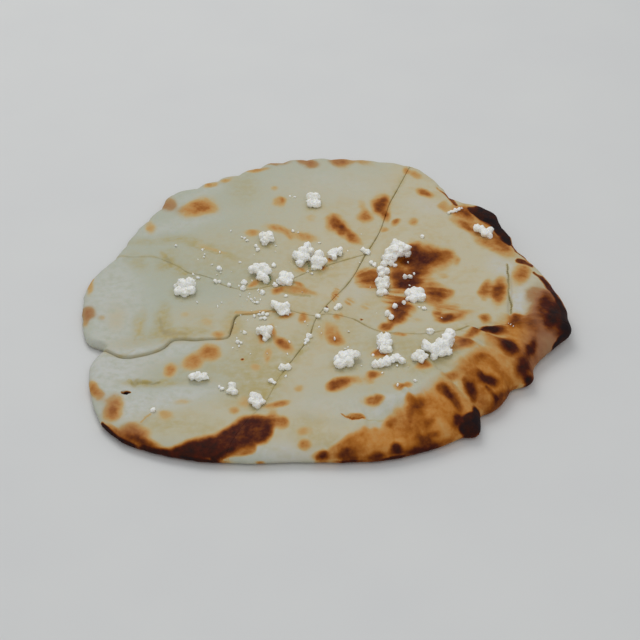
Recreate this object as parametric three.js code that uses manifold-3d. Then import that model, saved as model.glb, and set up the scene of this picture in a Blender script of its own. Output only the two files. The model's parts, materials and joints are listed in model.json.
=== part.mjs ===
// A goat cheese naan: one leavened flatbread, cut into five slices that still lie together, with
// crumbs of soft cheese on top. Millimetres, +Z up, +X to the right and +Y to the back of the bread.
// The origin is in the middle of the bread's plan, at the height of the flat underside.
import * as THREE from "three";
import { mergeVertices } from "three/addons/utils/BufferGeometryUtils.js";
import Module from "manifold-3d";

// Driving dimensions of the bread.
const CENTRE_HEIGHT = 11; // height of the top in the middle
const RINGS = 22; // rings of the top surface from the middle to the edge
const RING_STEP = 6; // points that each ring has more than the one inside it
const RING_CROWDING = 1.5; // over 1 brings the rings closer together towards the edge
const UNDER_RINGS = 3; // rings of the underside in the band where it curls up to the edge
const UNDER_BAND = 16; // width of that band
const UNDER_CURL = 1.5; // width of the curl itself, as a multiple of the edge's height

// The edge all the way round, anticlockwise from +X. reach is the distance from the middle, crest the
// height of the top just inside the edge, slope the width over which it falls to the edge, lift the
// height of the edge itself and pleat the depth of the folds across the slope.
const EDGE = [
  { at: 0, reach: 125, crest: 15, slope: 18, lift: 8, pleat: 0.6 },
  { at: 20, reach: 113, crest: 13.5, slope: 14, lift: 9, pleat: 0.4 },
  { at: 40, reach: 113.5, crest: 14, slope: 10, lift: 10.5, pleat: 0.4 },
  { at: 60, reach: 128.5, crest: 9, slope: 8, lift: 5, pleat: 0.3 },
  { at: 70, reach: 136, crest: 8, slope: 7, lift: 4, pleat: 0.3 },
  { at: 85, reach: 137, crest: 6.5, slope: 6, lift: 3.5, pleat: 0.5 },
  { at: 100, reach: 136.5, crest: 6.2, slope: 6, lift: 3.2, pleat: 0.8 },
  { at: 115, reach: 131, crest: 6, slope: 6, lift: 3, pleat: 0.8 },
  { at: 130, reach: 130, crest: 6, slope: 6, lift: 3, pleat: 0.6 },
  { at: 150, reach: 124.5, crest: 6, slope: 6, lift: 3, pleat: 0.3 },
  { at: 163, reach: 123.5, crest: 5.8, slope: 6, lift: 3, pleat: 0.2 },
  { at: 175, reach: 131.5, crest: 5.5, slope: 6, lift: 2.8, pleat: 0.1 },
  { at: 190, reach: 133, crest: 5.5, slope: 6, lift: 2.8, pleat: 0.1 },
  { at: 202, reach: 135.5, crest: 5.5, slope: 6, lift: 2.8, pleat: 0.1 },
  { at: 213, reach: 147, crest: 6, slope: 7, lift: 3.2, pleat: 0.1 },
  { at: 227, reach: 156.5, crest: 7, slope: 9, lift: 3.6, pleat: 0.2 },
  { at: 240, reach: 150.5, crest: 8.5, slope: 14, lift: 4, pleat: 0.3 },
  { at: 255, reach: 139.5, crest: 11.5, slope: 24, lift: 4, pleat: 0.4 },
  { at: 266, reach: 134, crest: 13, slope: 28, lift: 4, pleat: 0.6 },
  { at: 285, reach: 135.8, crest: 16, slope: 34, lift: 4, pleat: 1 },
  { at: 302, reach: 134.5, crest: 19, slope: 40, lift: 4.5, pleat: 1.6 },
  { at: 315, reach: 128.5, crest: 20, slope: 40, lift: 5, pleat: 1.8 },
  { at: 333, reach: 126.5, crest: 19, slope: 36, lift: 6, pleat: 1.6 },
  { at: 345, reach: 130, crest: 17, slope: 28, lift: 8, pleat: 1 },
];

// Short bulges and notches of the outline, each a bump of a few degrees on the edge's reach.
const NICKS = [
  { at: 24.5, reach: 3, spread: 3.5 }, // near end of the scorched lip at the back right
  { at: 35, reach: 7.6, spread: 7.5 }, // the lip's middle
  { at: 50, reach: -5, spread: 6 }, // hollow behind the lip
  { at: 65, reach: 2.8, spread: 6 }, // broad bulge where the back right cut ends
  { at: 132.5, reach: 4.6, spread: 4 }, // lobe at the back left
  { at: 201.5, reach: -8, spread: 2.6 }, // notch where the left cut ends
  { at: 210, reach: -2.2, spread: 9 }, // straighter side of the front left slice
  { at: 304, reach: 4.5, spread: 2.2 }, // scorched knob
  { at: 308.5, reach: -3.5, spread: 2.5 }, // hollow beside the knob
  { at: 320.5, reach: -2, spread: 2.5 }, // hollow before the spur
  { at: 325.3, reach: 4.5, spread: 2.6 }, // spur
  { at: 339, reach: 2, spread: 4 }, // near side of the beak
  { at: 344.2, reach: 4.6, spread: 3 }, // scorched beak
  { at: 350.5, reach: 3.8, spread: 6.5 }, // full flank behind the beak
];
const PLEAT_PERIOD = 11; // degrees from one fold of the rim to the next
const PLEAT_SLANT = 0.25; // degrees that a fold turns for each millimetre it runs inwards
const SCALLOP_PERIOD = 6.3; // degrees from one scallop of the thin back edge to the next
const SCALLOP_DEPTH = 1.3; // how far a scallop stands out, for each millimetre of pleat
const SCALLOP_SLOPES = [8, 14]; // slope widths between which an edge goes from scalloped to plain

// Blisters that the heat of the oven raised on the top.
const BLISTERS = [
  { at: [-72, 81], radius: 12, height: 1.6 },
  { at: [6, 66], radius: 9, height: 1.4 },
  { at: [33, 84], radius: 8, height: 1.2 },
  { at: [54, 30], radius: 17, height: 2 },
  { at: [40, -31], radius: 10, height: 1.4 },
  { at: [60, -8], radius: 10, height: 1.4 },
  { at: [-60, -48], radius: 10, height: 1.2 },
  { at: [-21, -48], radius: 8, height: 1.2 },
];

// The knife cuts, seen from above. Each runs from where it meets another cut to past the edge.
const CUT_WIDTH = 0.4;
const CUT_STEPS = 36;
const CUTS = {
  long: [[57, 141], [51, 122], [39, 86], [31, 52], [23, 29], [14, 5], [-4, -27], [-9, -47], [-16, -62],
    [-23, -77], [-31, -99], [-42, -117], [-56, -150]],
  right: [[-4.2, -27], [1, -25], [14, -31], [26, -43], [36, -49], [50, -52], [66, -50], [82, -45],
    [98, -42], [125, -36], [150, -32]],
  left: [[-3.8, -27], [-25, -20.5], [-34, -23], [-47, -25], [-49.5, -35], [-52, -44], [-66, -45],
    [-80, -43.5], [-86, -50], [-94, -54.5], [-106, -56], [-118, -49], [-145, -42]],
  upper: [[23.2, 29], [14, 25.5], [4, 21.5], [-7, 15.5], [-23, 4.5], [-34, 0.5], [-45, -1], [-55, 3],
    [-63, 11], [-74, 17], [-84, 26.5], [-94, 33], [-110, 34.5], [-145, 41]],
};

// The slices, each found by a point near its middle.
const SLICES = {
  slice_back: [-18, 75],
  slice_left: [-72, -10],
  slice_front_left: [-72, -88],
  slice_front: [32, -85],
  slice_right: [62, 18],
};
const PROUD_SLICE = "slice_left"; // it stands proud of its neighbour along one of its cuts
const PROUD_CUT = "left";
const PROUD_BY = 1.8;
const PROUD_FADE = 11; // distance from the cut over which that fades out
const PROUD_FROM = [-20, -80]; // the side rises from nothing to its full height between these X

// Cheese crumbs the size of a berry: where each lies, its width along X, depth along Y and height, and
// how many lumps it has clotted from.
const CRUMB_GAP = 0.3; // clearance between a crumb and the bread
const CRUMB_SUNK = 0.12; // share of its height that a crumb has settled below the top of the bread
const CRUMBS = [
  { at: [-78, -1], size: [14, 9.5, 6.5], lumps: 3 },
  { at: [-6.7, 84], size: [8, 7.5, 6], lumps: 1 },
  { at: [-34, 46.5], size: [8, 7, 5.5], lumps: 1 },
  { at: [-12, 27.5], size: [11, 9.5, 6.5], lumps: 1 },
  { at: [-2.2, 19.5], size: [9, 8, 6], lumps: 1 },
  { at: [7, 30], size: [8, 6, 5], lumps: 1 },
  { at: [-36, 10], size: [13, 8.5, 6], lumps: 1 },
  { at: [-22.5, 5], size: [10.5, 7.5, 5.5], lumps: 1 },
  { at: [-23, -20.5], size: [12.5, 9.5, 4], lumps: 1 },
  { at: [-32.5, -41], size: [8.5, 6.5, 5], lumps: 1 },
  { at: [39.5, 28.5], size: [17, 12.5, 8], lumps: 4 },
  { at: [31, 13], size: [9, 10, 6.5], lumps: 1 },
  { at: [29.5, -5.5], size: [8, 9.5, 6.5], lumps: 1 },
  { at: [48, -15.5], size: [10, 8, 6.5], lumps: 1 },
  { at: [31, -60.5], size: [8.5, 10, 7], lumps: 1 },
  { at: [11.5, -71.5], size: [13.5, 10.5, 6], lumps: 1 },
  { at: [28.5, -76.5], size: [9.5, 6.5, 4.5], lumps: 1 },
  { at: [38.2, -73.5], size: [8.5, 6, 4.5], lumps: 1 },
  { at: [62.5, -62.5], size: [16, 14, 7.5], lumps: 4 },
  { at: [49.5, -72.5], size: [10, 8.5, 5.5], lumps: 1 },
  { at: [90.3, 49], size: [10.5, 7, 5], lumps: 1 },
  { at: [-65, -77], size: [10.5, 4.5, 3.5], lumps: 1 },
  { at: [-48, -88], size: [7.5, 6, 5], lumps: 1 },
  { at: [-35, -100], size: [7.5, 8, 6], lumps: 1 },
];
const LUMP_ROUGHNESS = 0.13; // how far a lump's surface strays from round, as a share of its radius
const LUMP_WAVES = 4; // waves of that roughness, in radians across a lump's radius
const LUMP_SHARE = 0.64; // size of each lump of a crumb that has several, as a share of the crumb
const LUMP_STEP = 0.3; // how much higher one lump may lie than the next, as a share of its radius
const SEED_STRIDE = 7919; // keeps the seeds of neighbouring crumbs far apart
const RANDOM_FACTOR = 16807; // factor and prime of a generator of seeded random numbers
const RANDOM_PRIME = 2147483647;
const MERGE_DISTANCE = 1e-4; // points closer than this are one point of a solid

const breadMaterial = new THREE.MeshStandardMaterial({ color: 0xcfc3a2, roughness: 0.75, metalness: 0 });
const cheeseMaterial = new THREE.MeshStandardMaterial({ color: 0xf0efe9, roughness: 0.6, metalness: 0 });

const wasm = await Module();
wasm.setup();

const ease = (share) => share * share * (3 - 2 * share);
const clamp = (value) => THREE.MathUtils.clamp(value, 0, 1);
const bell = (distance, spread) => Math.exp(-((distance / spread) ** 2));
const sum = (numbers) => numbers.reduce((total, number) => total + number, 0);

// Degrees from one bearing to another the short way round.
const bearingGap = (from, to) => THREE.MathUtils.euclideanModulo(to - from + 180, 360) - 180;

// A wave with sharp valleys and full crests, as folded dough has. It runs from -1 to 1.
const foldWave = (turns) => 2 * Math.abs(Math.sin(Math.PI * turns)) - 1;

// One column of the edge table at any bearing, by a smooth curve that closes on itself.
function aroundEdge(bearing, column) {
  const turned = THREE.MathUtils.euclideanModulo(bearing, 360);
  const first = EDGE.findLastIndex((row) => row.at <= turned);
  const rowAt = (index) => {
    const laps = Math.floor(index / EDGE.length);
    const row = EDGE[index - laps * EDGE.length];
    return { at: row.at + 360 * laps, value: row[column] };
  };
  const [before, start, end, after] = [-1, 0, 1, 2].map((step) => rowAt(first + step));
  const span = end.at - start.at;
  const share = (turned - start.at) / span;
  const startRise = ((end.value - before.value) / (end.at - before.at)) * span;
  const endRise = ((after.value - start.value) / (after.at - start.at)) * span;
  const bend = startRise * share * (1 - share) ** 2 - endRise * share ** 2 * (1 - share);
  return THREE.MathUtils.lerp(start.value, end.value, ease(share)) + bend;
}

// The distance from the middle to the edge.
function edgeReach(bearing) {
  const nicks = NICKS.map((nick) => nick.reach * bell(bearingGap(nick.at, bearing), nick.spread));
  const [thin, thick] = SCALLOP_SLOPES;
  const plain = ease(clamp((aroundEdge(bearing, "slope") - thin) / (thick - thin)));
  const depth = SCALLOP_DEPTH * (1 - plain) * aroundEdge(bearing, "pleat");
  return aroundEdge(bearing, "reach") + depth * foldWave(bearing / SCALLOP_PERIOD) + sum(nicks);
}

// The height of the top above a point of the plan.
function topHeight(x, y) {
  const bearing = THREE.MathUtils.radToDeg(Math.atan2(y, x));
  const radius = Math.hypot(x, y);
  const reach = edgeReach(bearing);
  const slope = aroundEdge(bearing, "slope");
  const lift = aroundEdge(bearing, "lift");
  const crest = aroundEdge(bearing, "crest");
  const plateau = THREE.MathUtils.lerp(CENTRE_HEIGHT, crest, ease(clamp(radius / (reach - slope))));
  const inwards = Math.max(reach - radius, 0);
  const fall = 1 - clamp(inwards / slope);
  const turns = (bearing + PLEAT_SLANT * inwards) / PLEAT_PERIOD;
  const pleat = aroundEdge(bearing, "pleat") * foldWave(turns) * Math.sin(Math.PI * fall);
  const blisters = BLISTERS.map((blister) => {
    const [middleX, middleY] = blister.at;
    return blister.height * bell(Math.hypot(x - middleX, y - middleY), blister.radius);
  });
  return lift + (plateau - lift) * Math.sqrt(1 - fall ** 2) + pleat + (1 - fall) * sum(blisters);
}

// The height of the underside, which is flat but for the curl up to the edge.
function underHeight(bearing, inwards) {
  const lift = aroundEdge(bearing, "lift");
  const rise = 1 - clamp(inwards / (UNDER_CURL * lift));
  return lift * (1 - Math.sqrt(1 - rise ** 2));
}

// A ring of points round the middle, each by its distance from there and its height.
function ring(count, radiusAt, heightAt) {
  return Array.from({ length: count }, (_, index) => {
    const bearing = (360 * index) / count;
    const turn = THREE.MathUtils.degToRad(bearing);
    const x = radiusAt(bearing) * Math.cos(turn);
    const y = radiusAt(bearing) * Math.sin(turn);
    return [x, y, heightAt(x, y, bearing)];
  });
}

function topRing(index) {
  const share = 1 - (1 - index / RINGS) ** RING_CROWDING;
  const heightAt = index === RINGS ? (x, y, bearing) => aroundEdge(bearing, "lift") : topHeight;
  return ring(RING_STEP * index, (bearing) => share * edgeReach(bearing), heightAt);
}

function underRing(index) {
  const inwards = UNDER_BAND * (1 - Math.cos((Math.PI * index) / (2 * UNDER_RINGS)));
  const heightAt = (x, y, bearing) => underHeight(bearing, inwards);
  return ring(RING_STEP * RINGS, (bearing) => edgeReach(bearing) - inwards, heightAt);
}

// Triangles between two rings that may differ in number of points. Each ring is { start, count }.
function stitch(inner, outer) {
  const triangles = [];
  let inside = 0;
  let outside = 0;
  while (inside < inner.count || outside < outer.count) {
    const here = inner.start + (inside % inner.count);
    const there = outer.start + (outside % outer.count);
    if ((outside + 1) * inner.count <= (inside + 1) * outer.count) {
      outside++;
      triangles.push(here, there, outer.start + (outside % outer.count));
    } else {
      inside++;
      triangles.push(here, there, inner.start + (inside % inner.count));
    }
  }
  return triangles;
}

// The whole bread before it is cut: rings from the middle of the top out to the edge, and back under it.
function wholeBread() {
  const vertices = [];
  const triangles = [];
  const addRing = (points) => {
    const added = { start: vertices.length, count: points.length };
    vertices.push(...points);
    return added;
  };
  let last = addRing([[0, 0, topHeight(0, 0)]]);
  for (let index = 1; index <= RINGS; index++) {
    const next = addRing(topRing(index));
    triangles.push(...stitch(last, next));
    last = next;
  }
  for (let index = 1; index <= UNDER_RINGS; index++) {
    const next = addRing(underRing(index));
    triangles.push(...stitch(next, last).reverse());
    last = next;
  }
  triangles.push(...stitch(addRing([[0, 0, 0]]), last).reverse());
  const geometry = new THREE.BufferGeometry();
  geometry.setAttribute("position", new THREE.Float32BufferAttribute(vertices.flat(), 3));
  return geometry.setIndex(triangles);
}

function cutCurve(name) {
  return new THREE.CatmullRomCurve3(CUTS[name].map(([x, y]) => new THREE.Vector3(x, y, 0)));
}

// The blade of one cut: a thin upright wall along its curve, taller than the bread.
function blade(name) {
  const curve = cutCurve(name);
  const face = (sideways) =>
    curve.getSpacedPoints(CUT_STEPS).map((point, index) => {
      const along = curve.getTangentAt(index / CUT_STEPS);
      return new THREE.Vector2(point.x - sideways * along.y, point.y + sideways * along.x);
    });
  const outline = new THREE.Shape([...face(CUT_WIDTH / 2), ...face(-CUT_WIDTH / 2).reverse()]);
  const wall = new THREE.ExtrudeGeometry(outline, { depth: 3 * CENTRE_HEIGHT, bevelEnabled: false });
  return wall.translate(0, 0, -CENTRE_HEIGHT / 2);
}

// A three.js geometry as a solid that can be cut and joined.
function solid(geometry) {
  const bare = geometry.clone();
  bare.deleteAttribute("normal");
  bare.deleteAttribute("uv");
  const merged = mergeVertices(bare, MERGE_DISTANCE);
  const vertProperties = new Float32Array(merged.attributes.position.array);
  const triVerts = new Uint32Array(merged.index.array);
  return new wasm.Manifold(new wasm.Mesh({ numProp: 3, vertProperties, triVerts }));
}

function geometryOf(made) {
  const mesh = made.getMesh();
  const geometry = new THREE.BufferGeometry();
  geometry.setAttribute("position", new THREE.BufferAttribute(new Float32Array(mesh.vertProperties), 3));
  return geometry.setIndex(new THREE.BufferAttribute(new Uint32Array(mesh.triVerts), 1));
}

const largestFirst = (a, b) => b.volume() - a.volume();

// How far the middle of a geometry's points is from a point of the plan.
function distanceFrom(geometry, [x, y]) {
  const { array, count } = geometry.attributes.position;
  const middleX = sum(array.filter((_, index) => index % 3 === 0)) / count;
  const middleY = sum(array.filter((_, index) => index % 3 === 1)) / count;
  return Math.hypot(middleX - x, middleY - y);
}

// Lifts a slice's top along the cut where it stands proud of its neighbour.
function raiseProudSide(geometry) {
  const cut = cutCurve(PROUD_CUT).getSpacedPoints(CUT_STEPS);
  const [low, full] = PROUD_FROM;
  const position = geometry.attributes.position;
  for (let index = 0; index < position.count; index++) {
    const [x, y, z] = [position.getX(index), position.getY(index), position.getZ(index)];
    const fromCut = Math.min(...cut.map((point) => Math.hypot(point.x - x, point.y - y)));
    const along = ease(clamp((x - low) / (full - low)));
    position.setZ(index, z + (PROUD_BY * along * bell(fromCut, PROUD_FADE) * z) / topHeight(x, y));
  }
}

function makeSlices() {
  const blades = Object.keys(CUTS).map((name) => solid(blade(name)));
  const cutBread = blades.reduce((bread, knife) => bread.subtract(knife), solid(wholeBread()));
  const pieces = cutBread.decompose().map(geometryOf);
  return Object.entries(SLICES).map(([name, middle]) => {
    const nearest = pieces.toSorted((a, b) => distanceFrom(a, middle) - distanceFrom(b, middle))[0];
    if (name === PROUD_SLICE) raiseProudSide(nearest);
    const slice = new THREE.Mesh(nearest, breadMaterial);
    slice.name = name;
    return slice;
  });
}

// Numbers from 0 to 1 that are the same on every run.
function seededNumbers(seed) {
  let state = seed;
  return () => {
    state = (state * RANDOM_FACTOR) % RANDOM_PRIME;
    return state / RANDOM_PRIME;
  };
}

// One lump of cheese: a faceted ball pushed in and out by slow waves.
function lump(random, halfSize, middle) {
  const geometry = new THREE.IcosahedronGeometry(1, 1);
  const phases = [random(), random(), random()].map((number) => 2 * Math.PI * number);
  const position = geometry.attributes.position;
  const point = new THREE.Vector3();
  for (let index = 0; index < position.count; index++) {
    point.fromBufferAttribute(position, index);
    const waves = point.toArray().map((side, axis) => Math.sin(LUMP_WAVES * side + phases[axis]));
    point.multiplyScalar(1 + LUMP_ROUGHNESS * sum(waves));
    position.setXYZ(index, ...point);
  }
  return solid(geometry.scale(...halfSize).translate(...middle));
}

// A crumb before it settles on the bread: one lump, or a few that overlap.
function looseCrumb({ at: [x, y], size: [width, depth, height], lumps }, seed) {
  const random = seededNumbers(seed * SEED_STRIDE);
  const share = lumps === 1 ? 1 : LUMP_SHARE;
  const halfSize = [(share * width) / 2, (share * depth) / 2, (share * height) / 2];
  const base = topHeight(x, y) - CRUMB_SUNK * height;
  const firstTurn = 2 * Math.PI * random();
  const made = Array.from({ length: lumps }, (_, index) => {
    const turn = firstTurn + (2 * Math.PI * index) / lumps;
    const out = (1 - share) / 2;
    const rise = halfSize[2] * (1 + LUMP_STEP * random());
    const middle = [x + out * width * Math.cos(turn), y + out * depth * Math.sin(turn), base + rise];
    return lump(random, halfSize, middle);
  });
  return made.reduce((crumb, next) => crumb.add(next));
}

// The crumbs, each cut to the shape of the bread under it, with a small clearance.
function makeCrumbs(slices) {
  const bread = [wholeBread(), ...slices.map((slice) => slice.geometry.clone())];
  const covers = bread.map((geometry) => solid(geometry.translate(0, 0, CRUMB_GAP)));
  return CRUMBS.map((crumb, index) => {
    const settled = covers.reduce((made, cover) => made.subtract(cover), looseCrumb(crumb, index + 1));
    const kept = settled.decompose().sort(largestFirst)[0];
    const mesh = new THREE.Mesh(geometryOf(kept), cheeseMaterial);
    mesh.name = `cheese_crumb_${String(index + 1).padStart(2, "0")}`;
    return mesh;
  });
}

const naan = new THREE.Group();
const slices = makeSlices();
naan.add(...slices, ...makeCrumbs(slices));

// The middle of the plan becomes the origin.
const bounds = new THREE.Box3().setFromObject(naan);
naan.position.set(-(bounds.min.x + bounds.max.x) / 2, -(bounds.min.y + bounds.max.y) / 2, 0);

export default naan;
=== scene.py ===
# %% [markdown]
# # A goat cheese naan
# The real thing is one flat, leavened bread, baked against a very hot oven wall. It came out thin and
# pale at the back, and thick, puffed and scorched at the front right. Then it was cut into five slices,
# left lying together, and crumbled goat cheese was dropped on top.
# This lesson gives that bread its looks. The solid model, called the frame here, already holds the
# slices and the large crumbs at their real size, and those made below take their places. The small
# crumbs and the herbs are added to them. All sizes are in millimetres, and are turned into Blender's
# metres where a mesh is made.

# %% Load the frame
import json
import math
from collections import namedtuple

import bpy
import numpy as np
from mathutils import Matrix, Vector
from mathutils.geometry import delaunay_2d_cdt
from mathutils.kdtree import KDTree

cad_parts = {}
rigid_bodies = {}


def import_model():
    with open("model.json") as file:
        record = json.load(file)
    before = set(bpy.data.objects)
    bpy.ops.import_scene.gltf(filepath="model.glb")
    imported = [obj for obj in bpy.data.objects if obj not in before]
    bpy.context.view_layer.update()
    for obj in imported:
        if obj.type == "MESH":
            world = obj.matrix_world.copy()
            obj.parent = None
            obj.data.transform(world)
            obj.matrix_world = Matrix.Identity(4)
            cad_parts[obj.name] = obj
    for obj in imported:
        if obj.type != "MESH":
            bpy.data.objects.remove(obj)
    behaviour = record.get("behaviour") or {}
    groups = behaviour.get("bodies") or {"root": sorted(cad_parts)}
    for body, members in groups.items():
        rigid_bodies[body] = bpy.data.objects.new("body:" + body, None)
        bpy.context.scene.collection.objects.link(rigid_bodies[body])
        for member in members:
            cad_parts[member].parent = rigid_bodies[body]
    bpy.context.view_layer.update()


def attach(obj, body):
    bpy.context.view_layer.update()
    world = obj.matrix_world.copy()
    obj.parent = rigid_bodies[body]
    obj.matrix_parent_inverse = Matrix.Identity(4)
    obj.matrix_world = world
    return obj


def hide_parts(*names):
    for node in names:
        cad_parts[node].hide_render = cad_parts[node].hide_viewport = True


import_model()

MM = 0.001  # one millimetre in metres
MIDDLE = np.array([0.609, -1.428, 0.0])  # the middle of the bread's plan, in the frame

# %% [markdown]
# ## The camera comes first
# The photograph looks down on the bread at about 38 degrees, from about a metre away. Knowing that
# camera exactly pays off twice. The render can be laid beside the photograph, and a scorch mark can be
# placed by the pixel where it is seen, because the camera says which point of the bread that pixel shows.

# %% Camera
ELEVATION = math.radians(38)
DISTANCE = 1000.0  # from the camera to the point it aims at
AIM = np.array([-2.6, -22.5, 5.0])  # that point, from the middle of the bread
PICTURE = 640  # pixels across and down
FOCUS = 1850.0  # how many pixels one radian takes up at the middle of the picture
SENSOR = 36.0  # width of the picture inside the camera, in millimetres

SIGHT = np.array([0.0, math.cos(ELEVATION), -math.sin(ELEVATION)])
PICTURE_UP = np.array([0.0, math.sin(ELEVATION), math.cos(ELEVATION)])
EYE = AIM - DISTANCE * SIGHT


def seen(points):
    """The pixel at which each point of the bread appears, as column and row."""
    away = points - EYE
    depth = away @ SIGHT
    columns = PICTURE / 2 + FOCUS * away[:, 0] / depth
    rows = PICTURE / 2 - FOCUS * (away @ PICTURE_UP) / depth
    return np.stack([columns, rows], axis=1)


def in_mm(pixels):
    """How long a stretch of pixels is on the bread, seen straight on."""
    return pixels * DISTANCE / FOCUS


def make_camera():
    camera = bpy.data.objects.new("camera", bpy.data.cameras.new("camera"))
    camera.data.sensor_width = SENSOR
    camera.data.lens = SENSOR * FOCUS / PICTURE
    camera.location = Vector((EYE + MIDDLE) * MM)
    camera.rotation_euler = (math.pi / 2 - ELEVATION, 0, 0)
    bpy.context.scene.collection.objects.link(camera)
    bpy.context.scene.camera = camera
    return camera


print("lens:", round(make_camera().data.lens, 1), "mm")

# %% [markdown]
# ## The edge, all the way round
# Dough that was stretched by hand has no simple outline, but it has one that can be told in a few lines:
# at each bearing, how far out it reaches, how high it puffed up just inside the edge, how wide the
# slope down to the edge is and how high the edge itself is lifted. A smooth curve through such rows
# that closes on itself gives the values in between. This is the same table that the solid model uses.

# %% Edge table
ROW = ("at", "reach", "crest", "slope", "lift", "pleat")
EDGE = np.array([
    (0, 125, 15, 18, 8, 0.6),
    (20, 113, 13.5, 14, 9, 0.4),
    (40, 113.5, 14, 10, 10.5, 0.4),
    (60, 128.5, 9, 8, 5, 0.3),
    (70, 136, 8, 7, 4, 0.3),
    (85, 137, 6.5, 6, 3.5, 0.5),
    (100, 136.5, 6.2, 6, 3.2, 0.8),
    (115, 131, 6, 6, 3, 0.8),
    (130, 130, 6, 6, 3, 0.6),
    (150, 124.5, 6, 6, 3, 0.3),
    (163, 123.5, 5.8, 6, 3, 0.2),
    (175, 131.5, 5.5, 6, 2.8, 0.1),
    (190, 133, 5.5, 6, 2.8, 0.1),
    (202, 135.5, 5.5, 6, 2.8, 0.1),
    (213, 147, 6, 7, 3.2, 0.1),
    (227, 156.5, 7, 9, 3.6, 0.2),
    (240, 150.5, 8.5, 14, 4, 0.3),
    (255, 139.5, 11.5, 24, 4, 0.4),
    (266, 134, 13, 28, 4, 0.6),
    (285, 135.8, 16, 34, 4, 1),
    (302, 134.5, 19, 40, 4.5, 1.6),
    (315, 128.5, 20, 40, 5, 1.8),
    (333, 126.5, 19, 36, 6, 1.6),
    (345, 130, 17, 28, 8, 1),
])  # degrees anticlockwise from +X, then millimetres


def ease(share):
    return share * share * (3 - 2 * share)


def clip(values):
    return np.clip(values, 0.0, 1.0)


def bell(distance, spread):
    return np.exp(-((distance / spread) ** 2))


def around_edge(bearing, column):
    """One column of the edge table at any bearing."""
    at, values = EDGE[:, 0], EDGE[:, ROW.index(column)]
    turned = np.mod(bearing, 360)
    first = np.searchsorted(at, turned, side="right") - 1

    def row(step):
        laps, index = np.divmod(first + step, len(at))
        return at[index] + 360 * laps, values[index]

    (at0, value0), (at1, value1), (at2, value2), (at3, value3) = (row(step) for step in (-1, 0, 1, 2))
    span = at2 - at1
    share = (turned - at1) / span
    start_rise = (value2 - value0) / (at2 - at0) * span
    end_rise = (value3 - value1) / (at3 - at1) * span
    bend = start_rise * share * (1 - share) ** 2 - end_rise * share**2 * (1 - share)
    return value1 + (value2 - value1) * ease(share) + bend


print("reach at the front:", around_edge(np.array([270.0]), "reach").round(1))

# %% [markdown]
# ## Unevenness without a pattern
# Dough never repeats itself, so nearly every shape below needs a little disorder. The helper makes a
# sheet of random numbers with a fixed seed and blends smoothly between neighbours, which gives slow,
# soft ups and downs of a chosen size. A fixed seed means the same bread each time the script runs.

# %% Unevenness
SHEET_CELLS = 128


def uneven(x, y, size, seed):
    """Numbers from -1 to 1 that change softly over a distance of `size` millimetres."""
    sheet = np.random.default_rng(seed).uniform(-1, 1, (SHEET_CELLS, SHEET_CELLS))
    column, row = x / size, y / size
    left, below = np.floor(column).astype(int), np.floor(row).astype(int)
    across, up = ease(column - left), ease(row - below)

    def corner(right, above):
        return sheet[(left + right) % SHEET_CELLS, (below + above) % SHEET_CELLS]

    lower = corner(0, 0) + (corner(1, 0) - corner(0, 0)) * across
    upper = corner(0, 1) + (corner(1, 1) - corner(0, 1)) * across
    return lower + (upper - lower) * up


def mixed_uneven(x, y, size, seed):
    """Three sizes of unevenness on top of each other, each half as large and half as strong."""
    turned = x * 0.8 - y * 0.6, x * 0.6 + y * 0.8
    slow = uneven(x, y, size, seed)
    middle = uneven(*turned, size / 2, seed + 1)
    fast = uneven(x + y, x - y, size / 3, seed + 2)
    return (slow + middle / 2 + fast / 4) / (1 + 1 / 2 + 1 / 4)


print("unevenness in the middle:", uneven(np.zeros(1), np.zeros(1), size=10, seed=0).round(2))

# %% [markdown]
# ## Reach of the edge
# On top of the table come the short bulges and notches that catch the eye, such as the scorched beak on
# the right, and the small scallops of the thin back edge, where the dough was pinched and stretched.

# %% Nicks, scallops and the whole outline
NICKS = [  # bearing, how far it stands out, and over how many degrees
    (24.5, 3, 3.5),  # near end of the scorched lip at the back right
    (35, 7.6, 7.5),  # the lip's middle
    (50, -5, 6),  # hollow behind the lip
    (65, 2.8, 6),  # broad bulge where the back right cut ends
    (132.5, 4.6, 4),  # lobe at the back left
    (201.5, -8, 2.6),  # notch where the left cut ends
    (210, -2.2, 9),  # straighter side of the front left slice
    (304, 4.5, 2.2),  # scorched knob
    (308.5, -3.5, 2.5),  # hollow beside the knob
    (320.5, -2, 2.5),  # hollow before the spur
    (325.3, 4.5, 2.6),  # spur
    (339, 2, 4),  # near side of the beak
    (344.2, 4.6, 3),  # scorched beak
    (350.5, 3.8, 6.5),  # full flank behind the beak
]
SCALLOP_PERIOD = 6.3  # degrees
SCALLOP_DEPTH = 1.3  # for each millimetre of pleat
SCALLOP_SLOPES = (8, 14)  # slope widths between which the edge goes from scalloped to plain
RAGGED = 0.35  # how far the edge strays from its smooth line
RAGGED_SIZE = 4.0
MEAN_REACH = 132.0


def edge_reach(bearing):
    """The distance from the middle to the edge."""
    reach = around_edge(bearing, "reach")
    for at, out, spread in NICKS:
        reach = reach + out * bell(np.mod(bearing - at + 180, 360) - 180, spread)
    thin, thick = SCALLOP_SLOPES
    plain = ease(clip((around_edge(bearing, "slope") - thin) / (thick - thin)))
    wave = 2 * np.abs(np.sin(np.pi * bearing / SCALLOP_PERIOD)) - 1
    turn = np.radians(bearing)
    edge_x, edge_y = MEAN_REACH * np.cos(turn), MEAN_REACH * np.sin(turn)
    ragged = RAGGED * uneven(edge_x, edge_y, RAGGED_SIZE, seed=3)
    return reach + SCALLOP_DEPTH * (1 - plain) * around_edge(bearing, "pleat") * wave + ragged


print("widest reach:", edge_reach(np.arange(360.0)).max().round(1), "mm")

# %% [markdown]
# ## Height of the top and of the underside
# From the middle the top runs level to the crest and falls to the edge in a quarter of an ellipse, so
# the rim looks puffed and not chamfered. A few low blisters lift it in between. The underside lies
# flat and curls up to meet the edge.

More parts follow.
